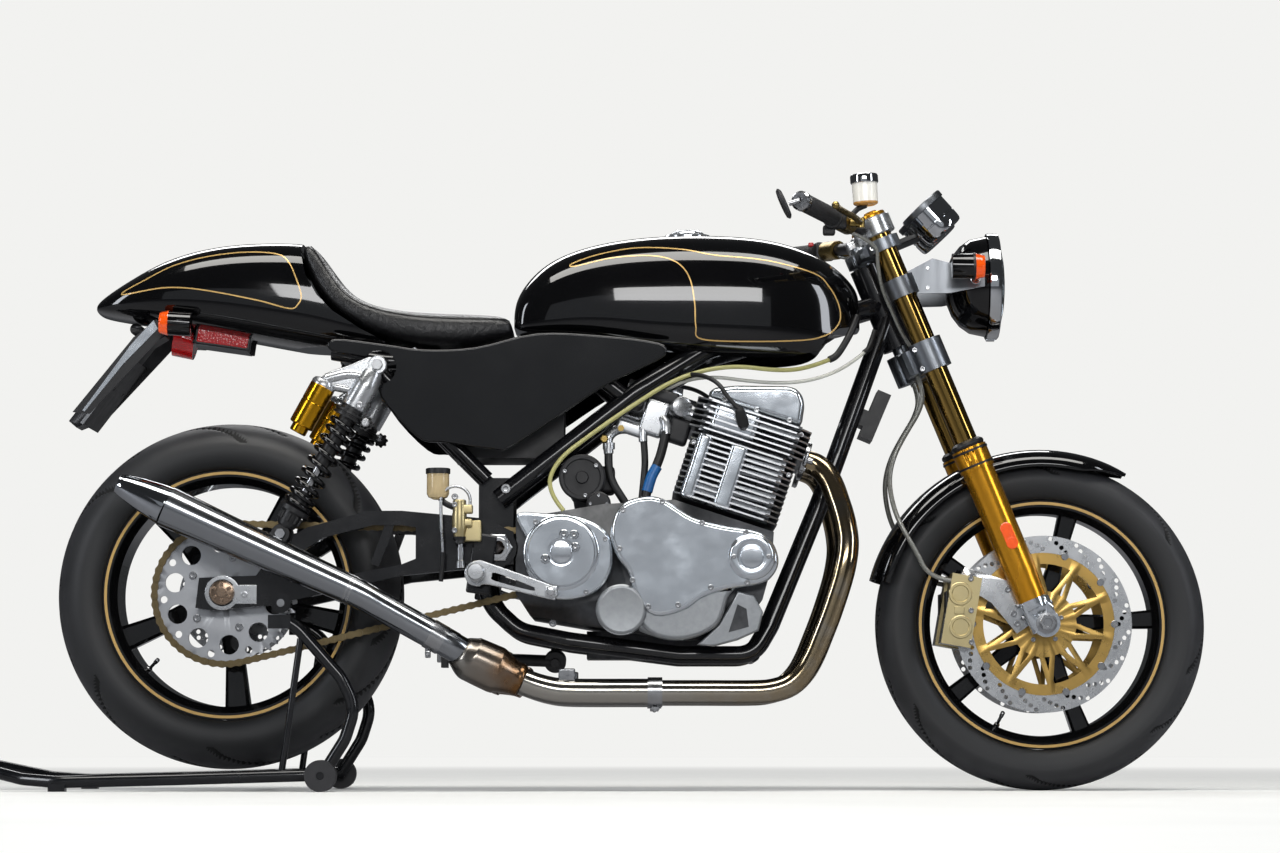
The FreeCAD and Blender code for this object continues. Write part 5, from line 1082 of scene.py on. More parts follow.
# %% [markdown]
# ## Handlebars and hand controls
# Low clip-on bars carry ribbed rubber grips. A grip is one outline on the lathe with a groove every few
# millimetres. The brake fluid sits in a milky pot, lighter above the fluid and amber where it stands.

# %% Bars, grips and levers
BAR_ROOT = on_leg(778, -26)


def on_bar(share, forward=0.0, out=0.0, up=0.0):
    return BAR_ROOT + Vector((-120 * share, -250 * share, 18 * share)) + Vector((forward, out, up))


ALONG_BAR = (on_bar(1) - on_bar(0)).normalized()
BAR_LONG = (on_bar(1) - on_bar(0)).length
clamp, bar, ends, glass = sheets(4)
lathe(clamp, [(-17, 22), (-17, 29), (-15, 31), (15, 31), (17, 29), (17, 22)], on_leg(778, 0), UP_FORK, 56)
brick(clamp, on_leg(778, -30), (26, 30, 26), 5, RAKE_TURN)
for up in (-8, 8):
    screw(clamp, on_leg(778 + up, -36, -14), RIGHT, 4.5, 4)
pin(bar, 11, 4, BAR_LONG, on_bar(0), ALONG_BAR, 36)
end = on_bar(1.03)
lathe(ends, [(0, 4.6), (20, 4.6)], end + Vector((-2, 0, 1)), Vector((-26, 2, -8)), 20)
lathe(glass, [(-5, 0), (-5, 9), (-4, 13), (0, 15), (3, 14), (5, 12), (5, 0)], end + Vector((-30, 8, -4)),
    Vector((0.91, 0, 0.4)), 48)
for vert in glass.verts:
    tall = Vector((-0.4, 0, 0.91))
    place = vert.co / MM - (end + Vector((-30, 8, -4)))
    vert.co = vert.co + tall * place.dot(tall) * MM * 0.95
mirrored(clamp, bar, ends, glass)
keep(clamp, "bar_clamps", "steering", MACHINED, replaces=["handlebars"])
keep(bar, "bar_tubes", "steering", SATIN)
keep(ends, "mirror_stems", "steering", BRIGHT)
keep(glass, "bar_end_mirrors", "steering", PLASTIC)
GRIP_RIBS, GRIP_PITCH = 28, 4.4
outline = [(0, 11.4), (0, 19), (4, 19.5), (5, 16)]
for rib in range(GRIP_RIBS):
    start = 6 + rib * GRIP_PITCH
    outline += [(start, 14.9), (start + 0.8, 16.4), (start + 3.0, 16.4), (start + 3.8, 14.9)]
outline += [(130, 16.4), (131.5, 15), (131.5, 11.4)]
make("ribbed_grips", "steering", GRIP_RUBBER, [(lathe, outline, on_bar(0.5), ALONG_BAR, 48)], both=True,
    replaces=["grips"])
make("bar_end_weights", "steering", BRIGHT, [(lathe, [(0, 11), (0, 16), (3, 17.6), (14, 17.6), (18, 14),
    (18, 5), (15, 4), (15, 0)], on_bar(0.985), ALONG_BAR, 40)], both=True)
LEVER_BRASS = finish("lever_bronze", "#A08A55", "#86713F", 0.3, 1, 12, 0.8, 0.01)
MILKY = finish("milky_pot", "#E4E2DC", "#D6D3CA", 0.28, 0, 18, 2, 0.01, coat=0.3)
FLUID = finish("brake_fluid", "#B98A4A", "#A6763A", 0.25, 0, 18, 2, 0.01, coat=0.3)
KILL_RED = finish("switch_red", "#B3131A", "#8E0D12", 0.35, 0, 8, 1, 0.02)
metal, dark, pot, fluid, red, cap = sheets(6)
lathe(metal, [(0, 12), (0, 17), (3, 18), (48, 18), (50, 16), (50, 12)], on_bar(0.24), ALONG_BAR, 32)
brick(metal, on_bar(0.36, 20, 0, -2), (34, 18, 15), 4)
pin(metal, 8, 0, 17, on_bar(0.36, 34, 0, -11), UP, 24)
root, tip = on_bar(0.36, 34, 0, -2), on_bar(0.93, 50, 0, -2)
lever = rounded([root, root.lerp(tip, 0.3) + Vector((3, 0, 0)), root.lerp(tip, 0.75) + Vector((-2, 0, 0)),
    tip], steps=8)
hose(metal, lever, 5.6, 12)
lathe(metal, [(-7, 0), (-6, 4), (-3, 6.4), (0, 7.2), (3, 6.4), (6, 4), (7, 0)], tip, UP, 20)
mirrored(metal)
keep(metal, "hand_lever_castings", "steering", LEVER_BRASS, replaces=["hand_levers"])
brick(dark, on_bar(0.44, 0, 0, -1), (30, 26, 34), 5, Matrix.Rotation(math.radians(25), 3, "Z"))
brick(dark, on_bar(0.44, -14, 2, -20), (22, 20, 18), 4)
mirrored(dark)
brick(red, on_bar(0.5, -18, 0, 14), (10, 12, 8), 2)
mirrored(red)
keep(dark, "switch_pods", "steering", PLASTIC)
keep(red, "kill_switches", "steering", KILL_RED)
POT = on_bar(0.3, 38, 10, 34)
TILT = Vector((-0.06, 0, 1)).normalized()
lathe(fluid, [(0, 0), (0, 17), (2, 21), (3, 22.2), (6, 22.4)], POT, TILT, 40)
lathe(pot, [(6, 22.4), (40, 22.8), (42, 22)], POT, TILT, 40)
lathe(cap, [(40, 22), (40, 24), (42, 25.2), (53, 25.2), (56, 23.6), (56, 0)], POT, TILT, 40)
dark = bmesh.new()
hose(dark, rounded([on_bar(0.3, 6, 2, 8), on_bar(0.3, 22, 6, 26), POT]), 5, 12)
keep(fluid, "pot_fluid", "steering", FLUID)
keep(pot, "pot_body", "steering", MILKY)
keep(cap, "pot_cap", "steering", CHROME)
keep(dark, "pot_arm", "steering", SATIN)
tell("bars")

# %% [markdown]
# ## Engine cases and covers
# The covers are cast, then polished by hand. Each is one outline drawn through and bevelled along its
# rim, which catches a bright edge all round. The crankcase behind them is darker: partly a dirty casting,
# partly painted shade behind the covers.

# %% Crankcase, timing cover and gearbox cover
CASE_DIRT_AND_SHADE = finish("oily_casting_and_painted_shade", "#5A5B5D", "#3F4042", 0.5, 1, 16, 0.8, 0.05)
# Faces inboard of the covers take a darker grey: dirt on the casting and painted shade behind the covers.
zoned("crankcase", [CASTING, CASE_DIRT_AND_SHADE], lambda at, out: int(at.y >= -151), sharp=30)


TIMING = [(74, 452), (80, 490), (100, 514), (137, 524), (170, 518), (219, 488), (270, 473), (335, 462),
    (362, 442), (373, 410), (364, 384), (340, 368), (283, 358), (240, 344), (207, 322), (164, 310),
    (136, 320), (115, 353), (105, 388), (86, 416)]
edge = bent(TIMING, 6)
make("timing_cover_polished", "root", POLISHED, [(cover, edge, -188, -150.4, 9)], replaces=["timing_cover"],
    sharp=50)
make("timing_cover_boss", "root", POLISHED, [(lathe, [(0, 42), (2, 41.4), (5, 38), (6.4, 35), (6.4, 27),
    (5, 24), (5, 22), (12, 20), (13, 18.6), (13.4, 0)], (325, -187.2, 416), RIGHT, 72)])
make("timing_cover_screws", "root", BRIGHT, [(screws, [(166, 514), (96, 499), (237, 476), (315, 458),
    (362, 417), (90, 430), (113, 374), (141, 327), (194, 330), (252, 361), (317, 370)], -186, 5.2, 5),
    (screws, [(293, 416), (355, 416)], -192.6, 4.4, 2.4)])
outline = bent([(-95, 492), (-40, 494), (20, 488), (66, 462), (78, 420), (70, 380), (44, 352), (0, 340),
    (-40, 346), (-66, 370), (-78, 400), (-74, 440)], 6)
make("gearbox_cover_polished", "root", POLISHED, [(cover, outline, -172.3, -150.4, 6, 4), (lathe, [(0, 68),
    (2, 66.5), (3, 63), (3, 61), (13, 60), (14.2, 58.6), (14.2, 26), (13.4, 24), (13.4, 20), (22, 19.4),
    (23.4, 17.6), (23.6, 0)], (-14, -172, 424), RIGHT, 96)], replaces=["gearbox_cover"], sharp=40)
bm = bmesh.new()
for x, z in ((9, 455), (11, 433), (-42, 412), (-9, 456)):
    lathe(bm, [(0, 8.6), (5, 8.2), (6, 7)], (x, -185.6, z), RIGHT, 24)
    screw(bm, (x, -186, z), RIGHT, 4.6, 7.4)
screws(bm, [(64, 448), (-60, 478), (30, 354)], -171, 4.6, 4)
keep(bm, "gearbox_screws", "root", BRIGHT)
LOWER = [(116, 322), (134, 288), (164, 271), (202, 268.5), (240, 279), (268, 300), (283, 344), (292, 364),
    (210, 352), (130, 342)]
make("lower_case_and_filter", "root", CASTING, [(cover, bent(LOWER, 5), -181, -150.2, 8), (lathe, [(0, 45.3),
    (34, 45.3), (37.5, 42), (38, 38), (37, 36), (37, 0)], (93, -150.2, 322), RIGHT, 64), (cover, [(228, 260),
    (258, 257), (300, 268), (338, 285), (346, 318), (330, 348), (300, 356), (286, 330), (266, 296)], -166,
    -150.2, 4, 3)], sharp=50)
# A dark plate in the case's opening: painted shade.
make("mount_window_shade", "root", CASE_DIRT_AND_SHADE, [(prism, [(284, 282), (320, 292), (316, 324), (300, 332)], -167,
    -160)])
bm = bmesh.new()
primary = bent([(-76, 470), (-76, 370), (-56, 330), (0, 312), (120, 300), (230, 296), (300, 318), (344, 366),
    (352, 420), (330, 470), (280, 496), (180, 506), (40, 506), (-50, 496)], 5)
cover(bm, primary, 150.4, 196, 9, rims=(1,))
lathe(bm, [(0, 79), (8, 78), (14, 72), (16, 64), (16, 0)], (30, 195, 408), LEFT, 96)
lathe(bm, [(0, 55), (6, 54), (11, 49), (12, 42), (12, 0)], (262, 195, 402), LEFT, 80)
keep(bm, "primary_cover_polished", "root", POLISHED, replaces=["primary_cover"], sharp=50)
bm = bmesh.new()
for number, (x, z) in enumerate(primary):
    if number % 5 == 2:
        inward = (Vector((140, 0, 404)) - Vector((x, 0, z))).normalized() * 12
        screw(bm, (x + inward.x, 195, z + inward.z), LEFT, 5, 4.6)
keep(bm, "primary_screws", "root", BRIGHT)
tell("cases")

# %% [markdown]
# ## Cylinders
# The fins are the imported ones. A face that points along the cylinder is the flat of a fin and stays as
# cast; one that points outwards is a fin's edge, which was machined, and takes a brighter metal. The
# polished columns on the right hide the pushrods.

# %% Barrel, head and rocker cover
FIN_FLAT = finish("cast_fin_flats", "#8E9092", "#77797C", 0.4, 1, 18, 0.8, 0.04)


def fin_zone(at, out):
    return int(abs(out.dot(UP_BARREL)) > 0.7)


zoned("cylinder_barrel", [FIN_METAL, FIN_FLAT], fin_zone, sharp=25)
zoned("cylinder_head", [FIN_METAL, FIN_FLAT], fin_zone, sharp=25)
BARREL_TURN = Matrix.Rotation(LEAN, 3, "Y")
bm = bmesh.new()
for side in (-1, 1):
    for ahead, wide in ((-72, 27), (-8, 34)):
        brick(bm, on_barrel(62, ahead, side * 151), (wide, 30, 122), 9, BARREL_TURN)
    brick(bm, on_barrel(158, -30, side * 156), (88, 30, 56), 12, BARREL_TURN)
keep(bm, "pushrod_columns", "root", POLISHED, sharp=60)
base_rear, base_front = on_barrel(187.2, -92), on_barrel(187.2, 86)
LID = [(base_rear.x, base_rear.z), (256, 722), (300, 726.5), (398, 725), (415, 716), (423, 694),
    (base_front.x, base_front.z)]
bm = bmesh.new()
prism(bm, LID, -151, 151)
soften(bm, bm.edges[:], 11, 5)
keep(bm, "rocker_lid", "root", POLISHED, replaces=["rocker_cover"], sharp=60)
bm = bmesh.new()
for side in (-1, 1):
    for ahead in (-60, 0, 62):
        screw(bm, on_barrel(190, ahead, side * 152), (0, side, 0), 5, 5)
    for ahead, up in ((90, 96), (90, 172), (-90, 100), (-90, 168)):
        screw(bm, on_barrel(up, ahead, side * 160), (0, side, 0), 4.5, 4)
    screw(bm, on_barrel(118, 108, side * 96 - 26), ALONG_BARREL, 6, 8)
    screw(bm, on_barrel(150, 108, side * 96 + 26), ALONG_BARREL, 6, 8)
keep(bm, "head_nuts", "root", BRIGHT)
plugs, caps = sheets(2)
for side in (-1, 1):
    place = on_barrel(152, -14, side * 168)
    lathe(plugs, [(0, 0), (0, 9), (8, 9), (8, 6), (16, 6), (16, 0)], place, (0.1, side, 0.25), 6)
    lathe(caps, [(0, 5), (0, 10), (14, 10.5), (30, 9), (34, 6), (34, 0)], place + Vector((1, side * 10, 2.5)),
        (-0.25, side * 0.5, 0.85), 24)
keep(plugs, "spark_plugs", "root", BRIGHT)
keep(caps, "plug_caps", "root", HOSE_RUBBER)
tell("cylinders")

# %% [markdown]
# ## Hoses and cables
# A cable is a round tube swept along a smooth line through measured points.

# %% Hoses and cables
CABLE_OLIVE = finish("olive_cable", "#8C8A55", "#A09C66", 0.32, 0, 30, 1.2, 0.01, coat=0.3)
CABLE_CLEAR = finish("braided_clear_cable", "#C4C4BC", "#A4A49C", 0.3, 0, 12, 0.6, 0.03, coat=0.5)
LEAD_BLUE = finish("blue_sleeve", "#1B5E9E", "#134878", 0.35, 0, 8, 1, 0.02)


def cable(name, points, wide, material, body="root", replaces=()):
    line = bpy.data.curves.new(name, "CURVE")
    line.dimensions = "3D"
    spline = line.splines.new("NURBS")
    spline.points.add(len(points) - 1)
    for control, point in zip(spline.points, points):
        control.co = (*mm(*point), 1)
    spline.order_u = 3
    spline.use_endpoint_u = True
    line.resolution_u = 10
    line.bevel_depth = wide / 2 * MM
    line.bevel_resolution = 4
    line.use_fill_caps = True
    piece = link(line, name, body, [material], replaces)
    return piece


cable("clutch_cable", [(-10, -168, 499), (-42, -163, 536), (-24, -150, 590), (38, -142, 638),
    (112, -138, 690), (196, -130, 744), (290, -120, 766), (380, -104, 756), (436, -92, 764), (479, -82, 783)],
    8, CABLE_OLIVE, replaces=["control_cables"])
cable("throttle_cable", [(170, -84, 722), (206, -86, 742), (262, -88, 748), (316, -92, 740), (372, -96, 735),
    (424, -92, 738), (472, -84, 752), (514, -72, 776), (541, -60, 800)], 6.5, CABLE_CLEAR)
for side, name in SIDES:
    lead_end = on_barrel(152, -14, side * 168) + Vector((-6, side * 24, 28))
    cable(f"plug_lead_{name}", [lead_end, (282, side * 192, 700), (268, side * 184, 726),
        (240, side * 152, 744), (208, side * 116, 750), (186, side * 80, 748)], 8, HOSE_RUBBER)
make("hose_unions", "root", MACHINED, [(hose, rounded([(70, -106, 606), (69, -105, 634), (86, -99, 650),
    (116, -92, 652)]), 9, 20), (lathe, [(0, 9), (0, 11), (12, 11), (12, 9)], (70, -106, 614), UP, 6),
    (hose, rounded([(132, -104, 628), (132, -102, 652), (140, -94, 668)]), 8, 20),
    (hose, rounded([(174, -112, 640), (172, -108, 662), (160, -96, 676)]), 9.6, 20)], sharp=60)
make("cable_boots", "root", HOSE_RUBBER, [(hose, rounded([(470, -84, 779), (486, -80, 790), (508, -71, 826),
    (524, -60, 862)]), 6.4, 16), (hose, rounded([(535, -63, 794), (546, -57, 806), (556, -48, 836)]), 5.4,
    16)], sharp=60)
cable("breather_hose", [(174, -112, 649), (167, -116, 613), (156, -120, 582), (144, -122, 560),
    (135, -124, 520)], 17, HOSE_RUBBER)
make("blue_sleeve_piece", "root", LEAD_BLUE, [(hose, rounded([(157, -119.4, 582), (147, -121.4, 563),
    (139, -123, 536)], steps=8), 9.8, 20)])
cable("oil_hose_one", [(132, -104, 640), (136, -108, 600), (134, -110, 566), (129, -112, 520)], 13,
    HOSE_RUBBER)
cable("oil_hose_two", [(70, -106, 622), (68, -110, 580), (78, -112, 550), (94, -112, 526), (110, -110, 500)],
    15, HOSE_RUBBER)
tell("hoses and cables")

# %% [markdown]
# ## Throttle bodies and starter
# Small castings sit behind the cylinders, half hidden by hoses. A few turned and bevelled shapes with the
# right finishes are enough there, because the eye reads only their edges and screws.

# %% Throttle bodies, starter and small engine parts
zoned("throttle_bodies", [MACHINED], whole, sharp=30)
make("throttle_castings", "root", MACHINED, [(brick, (152, -88, 672), (44, 44, 64), 6, BARREL_TURN), (brick,
    (112, -92, 652), (60, 30, 22), 5, BARREL_TURN), (lathe, [(0, 0), (0, 16), (4, 18), (24, 18), (26, 14),
    (26, 0)], (196, -100, 690), (0.3, -1, 0), 32)])
make("throttle_linkage", "root", PLASTIC, [(brick, (168, -80, 712), (60, 60, 22), 6, BARREL_TURN), (brick,
    (196, -86, 648), (40, 50, 46), 7, BARREL_TURN), (pin, 12, 0, 26, (122, -96, 696), (0, -1, 0.2), 20)])
make("throttle_unions", "root", LEVER_BRASS, [(lathe, [(0, 0), (0, 8), (14, 8), (16, 6), (16, 0)],
    (62, -106, 632), RIGHT, 6), (pin, 6, 0, 12, (92, -100, 652), RIGHT, 6)])
make("starter_black", "root", PLASTIC, [(lathe, [(0, 0), (0, 34), (-6, 36), (-10, 40), (-24, 42), (-27, 39),
    (-27, 34), (-24, 32), (-24, 12), (-28, 10), (-28, 0)], (22, -98, 562), LEFT, 64), (lathe, [(0, 0),
    (0, 22), (-30, 22), (-33, 19), (-33, 0)], (52, -100, 514)), (lathe, [(0, 33.6), (196, 33.6), (199, 30),
    (199, 0)], (28, -99, 554), LEFT, 64), (brick, (25.5, 0, 523), (40, 150, 30), 5, turned(-9.46)), (brick,
    (66, -60, 560), (30, 70, 50), 8)], replaces=["starter_motor"])
make("frame_and_starter_bolts", "root", BRIGHT, [*((screw, polar(Vector((22, 0, 562)), 33, angle, -124),
    RIGHT, 4, 4) for angle in (40, 160, 280)), *((screw, polar(Vector((52, 0, 514)), 15, angle, -132), RIGHT,
    3, 3) for angle in (0, 90, 180, 270)), (screws, [(-115, 541)], -125, 9, 8), (screws, [(-30, 300)], -119,
    7, 7)])
tell("engine")

# %% [markdown]
# ## Hot steel
# Stainless steel turns straw, then brown, where it runs hot. A painted map could show it, but the colour
# only has to follow the length of the bike, so a shader reads it from the place and fades it along each
# pipe, patchy as noise is.

# %% Hot steel
def hot_steel(name, cool, warm, gloss, near_x, far_x):
    # The tint grows from one x to another along the bike.
    material, shader, place = blank(name)
    split = add(material, "SeparateXYZ", {}, Vector=place)
    heat = ranged(material, split.outputs["X"], near_x * MM, far_x * MM)
    stain = noise(material, place, Scale=30.0, Detail=6.0)
    patchy = maths(material, "Math", "MULTIPLY", heat, stain)
    lifted = maths(material, "Math", "MULTIPLY", patchy, 1.9, clamp=True)
    return wire(material, shader, {"Base Color": blend(material, lifted, cool, warm), "Metallic": 1.0,
        "Roughness": ranged(material, stain, 0.0, 1.0, gloss * 0.7, gloss * 1.4)})


HEADER_STEEL = hot_steel("header_stainless", "#B2AEA6", "#A08F72", 0.13, 150, 430)
COLLAR_STEEL = hot_steel("burnt_collar", "#96928B", "#84603C", 0.24, -190, -70)
MUFFLER_STEEL = finish("brushed_stainless", "#A3A6AA", "#94979B", 0.17, 1, 40, 0.8, 0.006, (0.2, 1, 1),
    spread=0.04)
CONE_CHROME = finish("plated_cone", "#B4B7BB", "#9EA1A6", 0.08, 1, 40, 2, 0.004, spread=0.03)


def pipe(bm, stations, sides=48, steps=5):
    # A skin through stations of x, y, z and radius.
    line = rounded(stations, steps=steps)
    rows = []
    for number, station in enumerate(line):
        ahead = (line[min(number + 1, len(line) - 1)] - line[max(number - 1, 0)]).to_3d().normalized()
        side = ahead.cross(Vector(UP)).normalized()
        rows.append(ring(bm, station.to_3d(), side, side.cross(ahead), station[3], sides))
    strip(bm, rows)
    bm.faces.new(rows[0][::-1])
    bm.faces.new(rows[-1])
    bmesh.ops.recalc_face_normals(bm, faces=bm.faces)
print("hot steels", HEADER_STEEL.name, COLLAR_STEEL.name)

# %% [markdown]
# ## Header pipes
# A header is one bent tube. A curve with a bevel would do for it, but a skin through stations of centre
# and radius also makes the wider link pipe behind the clamp and the silencer's cones.

# %% Header pipes
PORT = on_barrel(134, 107.6, -96)
HEADER = [(420.7, -96, 594.2), (434, -96.6, 590), (447, -98, 584), (458, -102, 574.5), (467, -107, 561),
    (475, -113, 543), (482, -120, 521), (489, -128, 497), (495, -137, 468), (497, -144, 440),
    (493, -149, 408), (484, -150, 372), (466, -150, 318), (450, -150, 277), (435, -150, 241),
    (418, -150, 212), (395, -150, 190), (364, -150, 179), (328, -150, 176), (240, -150, 176),
    (153, -150, 176)]
make("header_pipes_tinted", "root", HEADER_STEEL, [(pipe, [(*place, 21.5) for place in HEADER], 40, 4),
    (pipe, [(153, -150, 176, 24), (100, -150, 176, 24), (30, -150, 176, 24), (-14, -150, 177, 24),
    (-40, -151, 181, 24), (-62, -153, 187, 24), (-84, -156, 195, 24)], 40, 4)], both=True,
    replaces=["header_pipes"], sharp=50)
make("pipe_clamps", "root", BRIGHT, [(lathe, [(0, 24.2), (0, 26.6), (26, 26.6), (26, 24.2)], (140, -150, 176),
    FORWARD, 48), (brick, (153, -150, 149), (16, 9, 10), 1.5), (brick, (-4, -163, 207), (30, 3, 22), 3),
    (lathe, [(0, 26), (0, 36), (7, 36), (9, 33), (9, 22)], PORT - ALONG_BARREL * 1.5, ALONG_BARREL, 48),
    (brick, PORT + ALONG_BARREL * 4, (8, 92, 26), 5, BARREL_TURN)], both=True)
make("clamp_screws", "root", BRIGHT, [(pin, 4, -11, 11, (153, -150, 146), LEFT, 16),
    (pin, 5, -3, 3, (-4, -165, 210), LEFT, 16), *((screw, PORT + ALONG_BARREL * 7 + Vector((0, side * 39, 0)),
    ALONG_BARREL, 6, 10) for side in (-1, 1))], both=True)
tell("header pipes")

# %% [markdown]
# ## Silencers
# The silencer is a long megaphone with a slip joint and a clamp at its small end and a pressed cone at
# its tail. Each part of it is one smooth skin, cut off square where the next one starts.

# %% Silencers
make("silencer_bodies", "root", MUFFLER_STEEL, [(pipe, [(-192, -177, 248, 25), (-213, -184, 260.6, 25.6),
    (-270, -192, 292, 25.6), (-330, -201.4, 325.4, 25.6), (-374, -208, 350, 26.2), (-440, -211.6, 380, 28.3),
    (-540, -216.8, 425, 31.4), (-640, -222.2, 470.4, 34.7), (-712, -226, 503, 36.8)], 72, 5)], both=True,
    replaces=["mufflers"], sharp=50)
make("silencer_cones", "root", CONE_CHROME, [(pipe, [(-712.5, -226, 503.2, 35.6), (-716, -226, 505, 35.4),
    (-730, -226, 511.8, 33.6), (-760, -226, 526.3, 28), (-785, -226, 538.3, 21.6), (-794, -226, 542.6, 18.2),
    (-797, -226, 544, 17.2)], 72, 4)], both=True, sharp=50)
make("silencer_collars", "root", COLLAR_STEEL, [(pipe, [(-84.5, -156.4, 196, 25), (-88, -157, 197.6, 30),
    (-100, -159, 202, 31), (-128, -163.6, 214.6, 41), (-134, -164.6, 217, 42), (-166, -170.2, 231.4, 41),
    (-178, -172.4, 237, 39.6), (-192, -176, 246, 31), (-196, -177.6, 249, 26.4)], 56, 4)], both=True,
    sharp=50)
# A dark disc just inside each tail pipe's mouth: painted shade in the bore.
make("tail_pipe_bore_shade", "root", CASE_DIRT_AND_SHADE, [(pipe, [(-797.3, -226, 544.1, 14.6), (-796.7, -226, 543.9, 14.5)],
    40, 1)], both=True, sharp=50)
make("silencer_clamps", "root", BRIGHT, [(pipe, [(-224, -186, 266.5, 27), (-248, -189.4, 280, 27.2)], 56, 1),
    (brick, (-250, -188, 247), (10, 8, 22), 2), (screw, (-250, -192, 244), RIGHT, 5, 4),
    *((pipe, [(*at, wide), (at[0] - 3, at[1] - 0.2, at[2] + 1.4, wide)], 56, 1)
    for at, wide in (((-384, -208.6, 354.4), 27.4), ((-390, -208.9, 357.2), 27.6)))], both=True, sharp=50)
tell("exhaust")

# %% [markdown]
# ## Chain and sprocket
# The chain is real: a roller, a pin and two pairs of plates at every 15.875 mm. Inner and outer plates
# take turns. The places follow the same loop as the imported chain: an arc on each sprocket and two
# straight runs, so every link lies on its teeth.

# %% Chain
CHAIN_STEEL = finish("oily_bronze_chain", "#857658", "#5F543D", 0.36, 1, 6, 0.8, 0.03)
SPROCKET_METAL = finish("anodised_sprocket", "#C3C5C8", "#A9ABAF", 0.34, 1, 25, 0.7, 0.01)
PITCH = 15.875
CHAIN_Y = -110
INNER, OUTER = 4.7, 6.9
PLATE_THICK, PLATE_TALL = 1.9, 13.4
TEETH = (50, 20)
DRIVER = Vector((-52, 0, 415))
wheel_radius, driver_radius = (PITCH / 2 / math.sin(math.pi / teeth) for teeth in TEETH)
run = Vector((DRIVER.x - REAR.x, 0, DRIVER.z - REAR.z))
lean_angle = math.atan2(run.z, run.x)
open_angle = math.acos((wheel_radius - driver_radius) / run.length)
straight = math.sqrt(run.length ** 2 - (wheel_radius - driver_radius) ** 2)
LOOP = 2 * straight + wheel_radius * (2 * math.pi - 2 * open_angle) + driver_radius * 2 * open_angle
LINKS = int(round(LOOP / PITCH / 2) * 2)


def on_chain(along):
    # The place and direction of the pitch line at a distance along the loop.
    top, low = lean_angle + open_angle, lean_angle - open_angle
    out_top, out_low = (Vector((math.cos(a), 0, math.sin(a))) for a in (top, low))
    wrap = driver_radius * 2 * open_angle
    rear_hub, front_hub = Vector((REAR.x, 0, REAR.z)), Vector((DRIVER.x, 0, DRIVER.z))
    if along < straight:
        start, end = rear_hub + out_top * wheel_radius, front_hub + out_top * driver_radius
        return start.lerp(end, along / straight)
    if along < straight + wrap:
        angle = top - (along - straight) / driver_radius
        return front_hub + Vector((math.cos(angle), 0, math.sin(angle))) * driver_radius
    if along < 2 * straight + wrap:
        start, end = front_hub + out_low * driver_radius, rear_hub + out_low * wheel_radius
        return start.lerp(end, (along - straight - wrap) / straight)
    angle = low - (along - 2 * straight - wrap) / wheel_radius
    return rear_hub + Vector((math.cos(angle), 0, math.sin(angle))) * wheel_radius


def link_plate(bm, start, end, y, thick, tall):
    # A figure-of-eight plate round two pins.
    ahead = (end - start).normalized()
    up = Vector((-ahead.z, 0, ahead.x))
    outline = []
    for centre, first in ((start, 90), (end, -90)):
        for step in range(7):
            angle = math.radians(first + step * 30)
            outline.append(centre + (ahead * math.cos(angle) + up * math.sin(angle)) * tall / 2)
    outline.insert(7, (start + end) / 2 - up * tall * 0.36)
    outline.append((start + end) / 2 + up * tall * 0.36)
    prism(bm, [(point.x, point.z) for point in outline], y - thick / 2, y + thick / 2)


bm = bmesh.new()
for number in range(LINKS):
    start, end = on_chain(LOOP * number / LINKS), on_chain(LOOP * ((number + 1) % LINKS) / LINKS)
    reach = OUTER if number % 2 else INNER
    for side in (-1, 1):
        link_plate(bm, start, end, CHAIN_Y + side * reach, PLATE_THICK, PLATE_TALL)
    pin(bm, 2.6, -8.4, 8.4, start + Vector((0, CHAIN_Y, 0)), LEFT, 10)
    lathe(bm, [(-3.6, 5), (3.6, 5)], start + Vector((0, CHAIN_Y, 0)), LEFT, 12)
keep(bm, "chain_links", "root", CHAIN_STEEL, replaces=["drive_chain"])
print("chain", LINKS, "links")

# %% [markdown]
# ## Sprocket, axle and frame paint
# The sprocket plate is bare alloy and its carrier black, told apart by a face's distance from the middle.
# The frame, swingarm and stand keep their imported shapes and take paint. Nuts and bobbins are turned.

# %% Sprocket and axle
zoned("rear_sprocket", [SPROCKET_METAL, SATIN], lambda at, out: int(at.y >= -105.8), sharp=35)
make("sprocket_nuts", "rear_wheel", BRIGHT, [(screw, polar(REAR, 66, -66 + 72 * number, -113), RIGHT, 7,
    6) for number in range(5)])
AXLE_STEEL = finish("warm_axle_steel", "#A58F7C", "#8B7766", 0.26, 1, 10, 0.7, 0.01)
nuts, plates, knobs = sheets(3)
lathe(nuts, [(12, 0), (12, 16), (10, 21.5), (1, 22.5), (0, 22.5)], (REAR.x, -152.2, REAR.z), RIGHT, 48)
for number in range(6):
    angle = 30 + 60 * number
    brick(nuts, polar(REAR, 14.6, angle, -164.6), (8, 3, 6), 1, turned(-angle))
lathe(nuts, [(0, 0), (0, 8.4), (2.4, 8), (2.4, 0)], (REAR.x, -163.6, REAR.z), RIGHT, 24)
pin(nuts, 12.4, -152, 152, (REAR.x, 0, REAR.z), LEFT, 32)
lathe(plates, [(0, 24), (0, 31), (1.6, 31), (2, 30), (2, 24)], (REAR.x, -152.1, REAR.z), RIGHT, 48)
brick(plates, (-580, -153, 350), (44, 2.6, 34), 1.2)
screw(plates, (-580, -154, 350), RIGHT, 6, 3)
lathe(knobs, [(-152, 0), (-152, 17.8), (-162, 17.8), (-164, 16), (-168, 12.5), (-172, 13.5), (-175, 17.4),
    (-177.6, 16), (-177.8, 0)], (-513, 0, 334), LEFT, 40)
mirrored(nuts, plates, knobs)
keep(nuts, "axle_nuts", "root", AXLE_STEEL, replaces=["rear_axle"])
keep(plates, "chain_adjusters", "root", MACHINED)
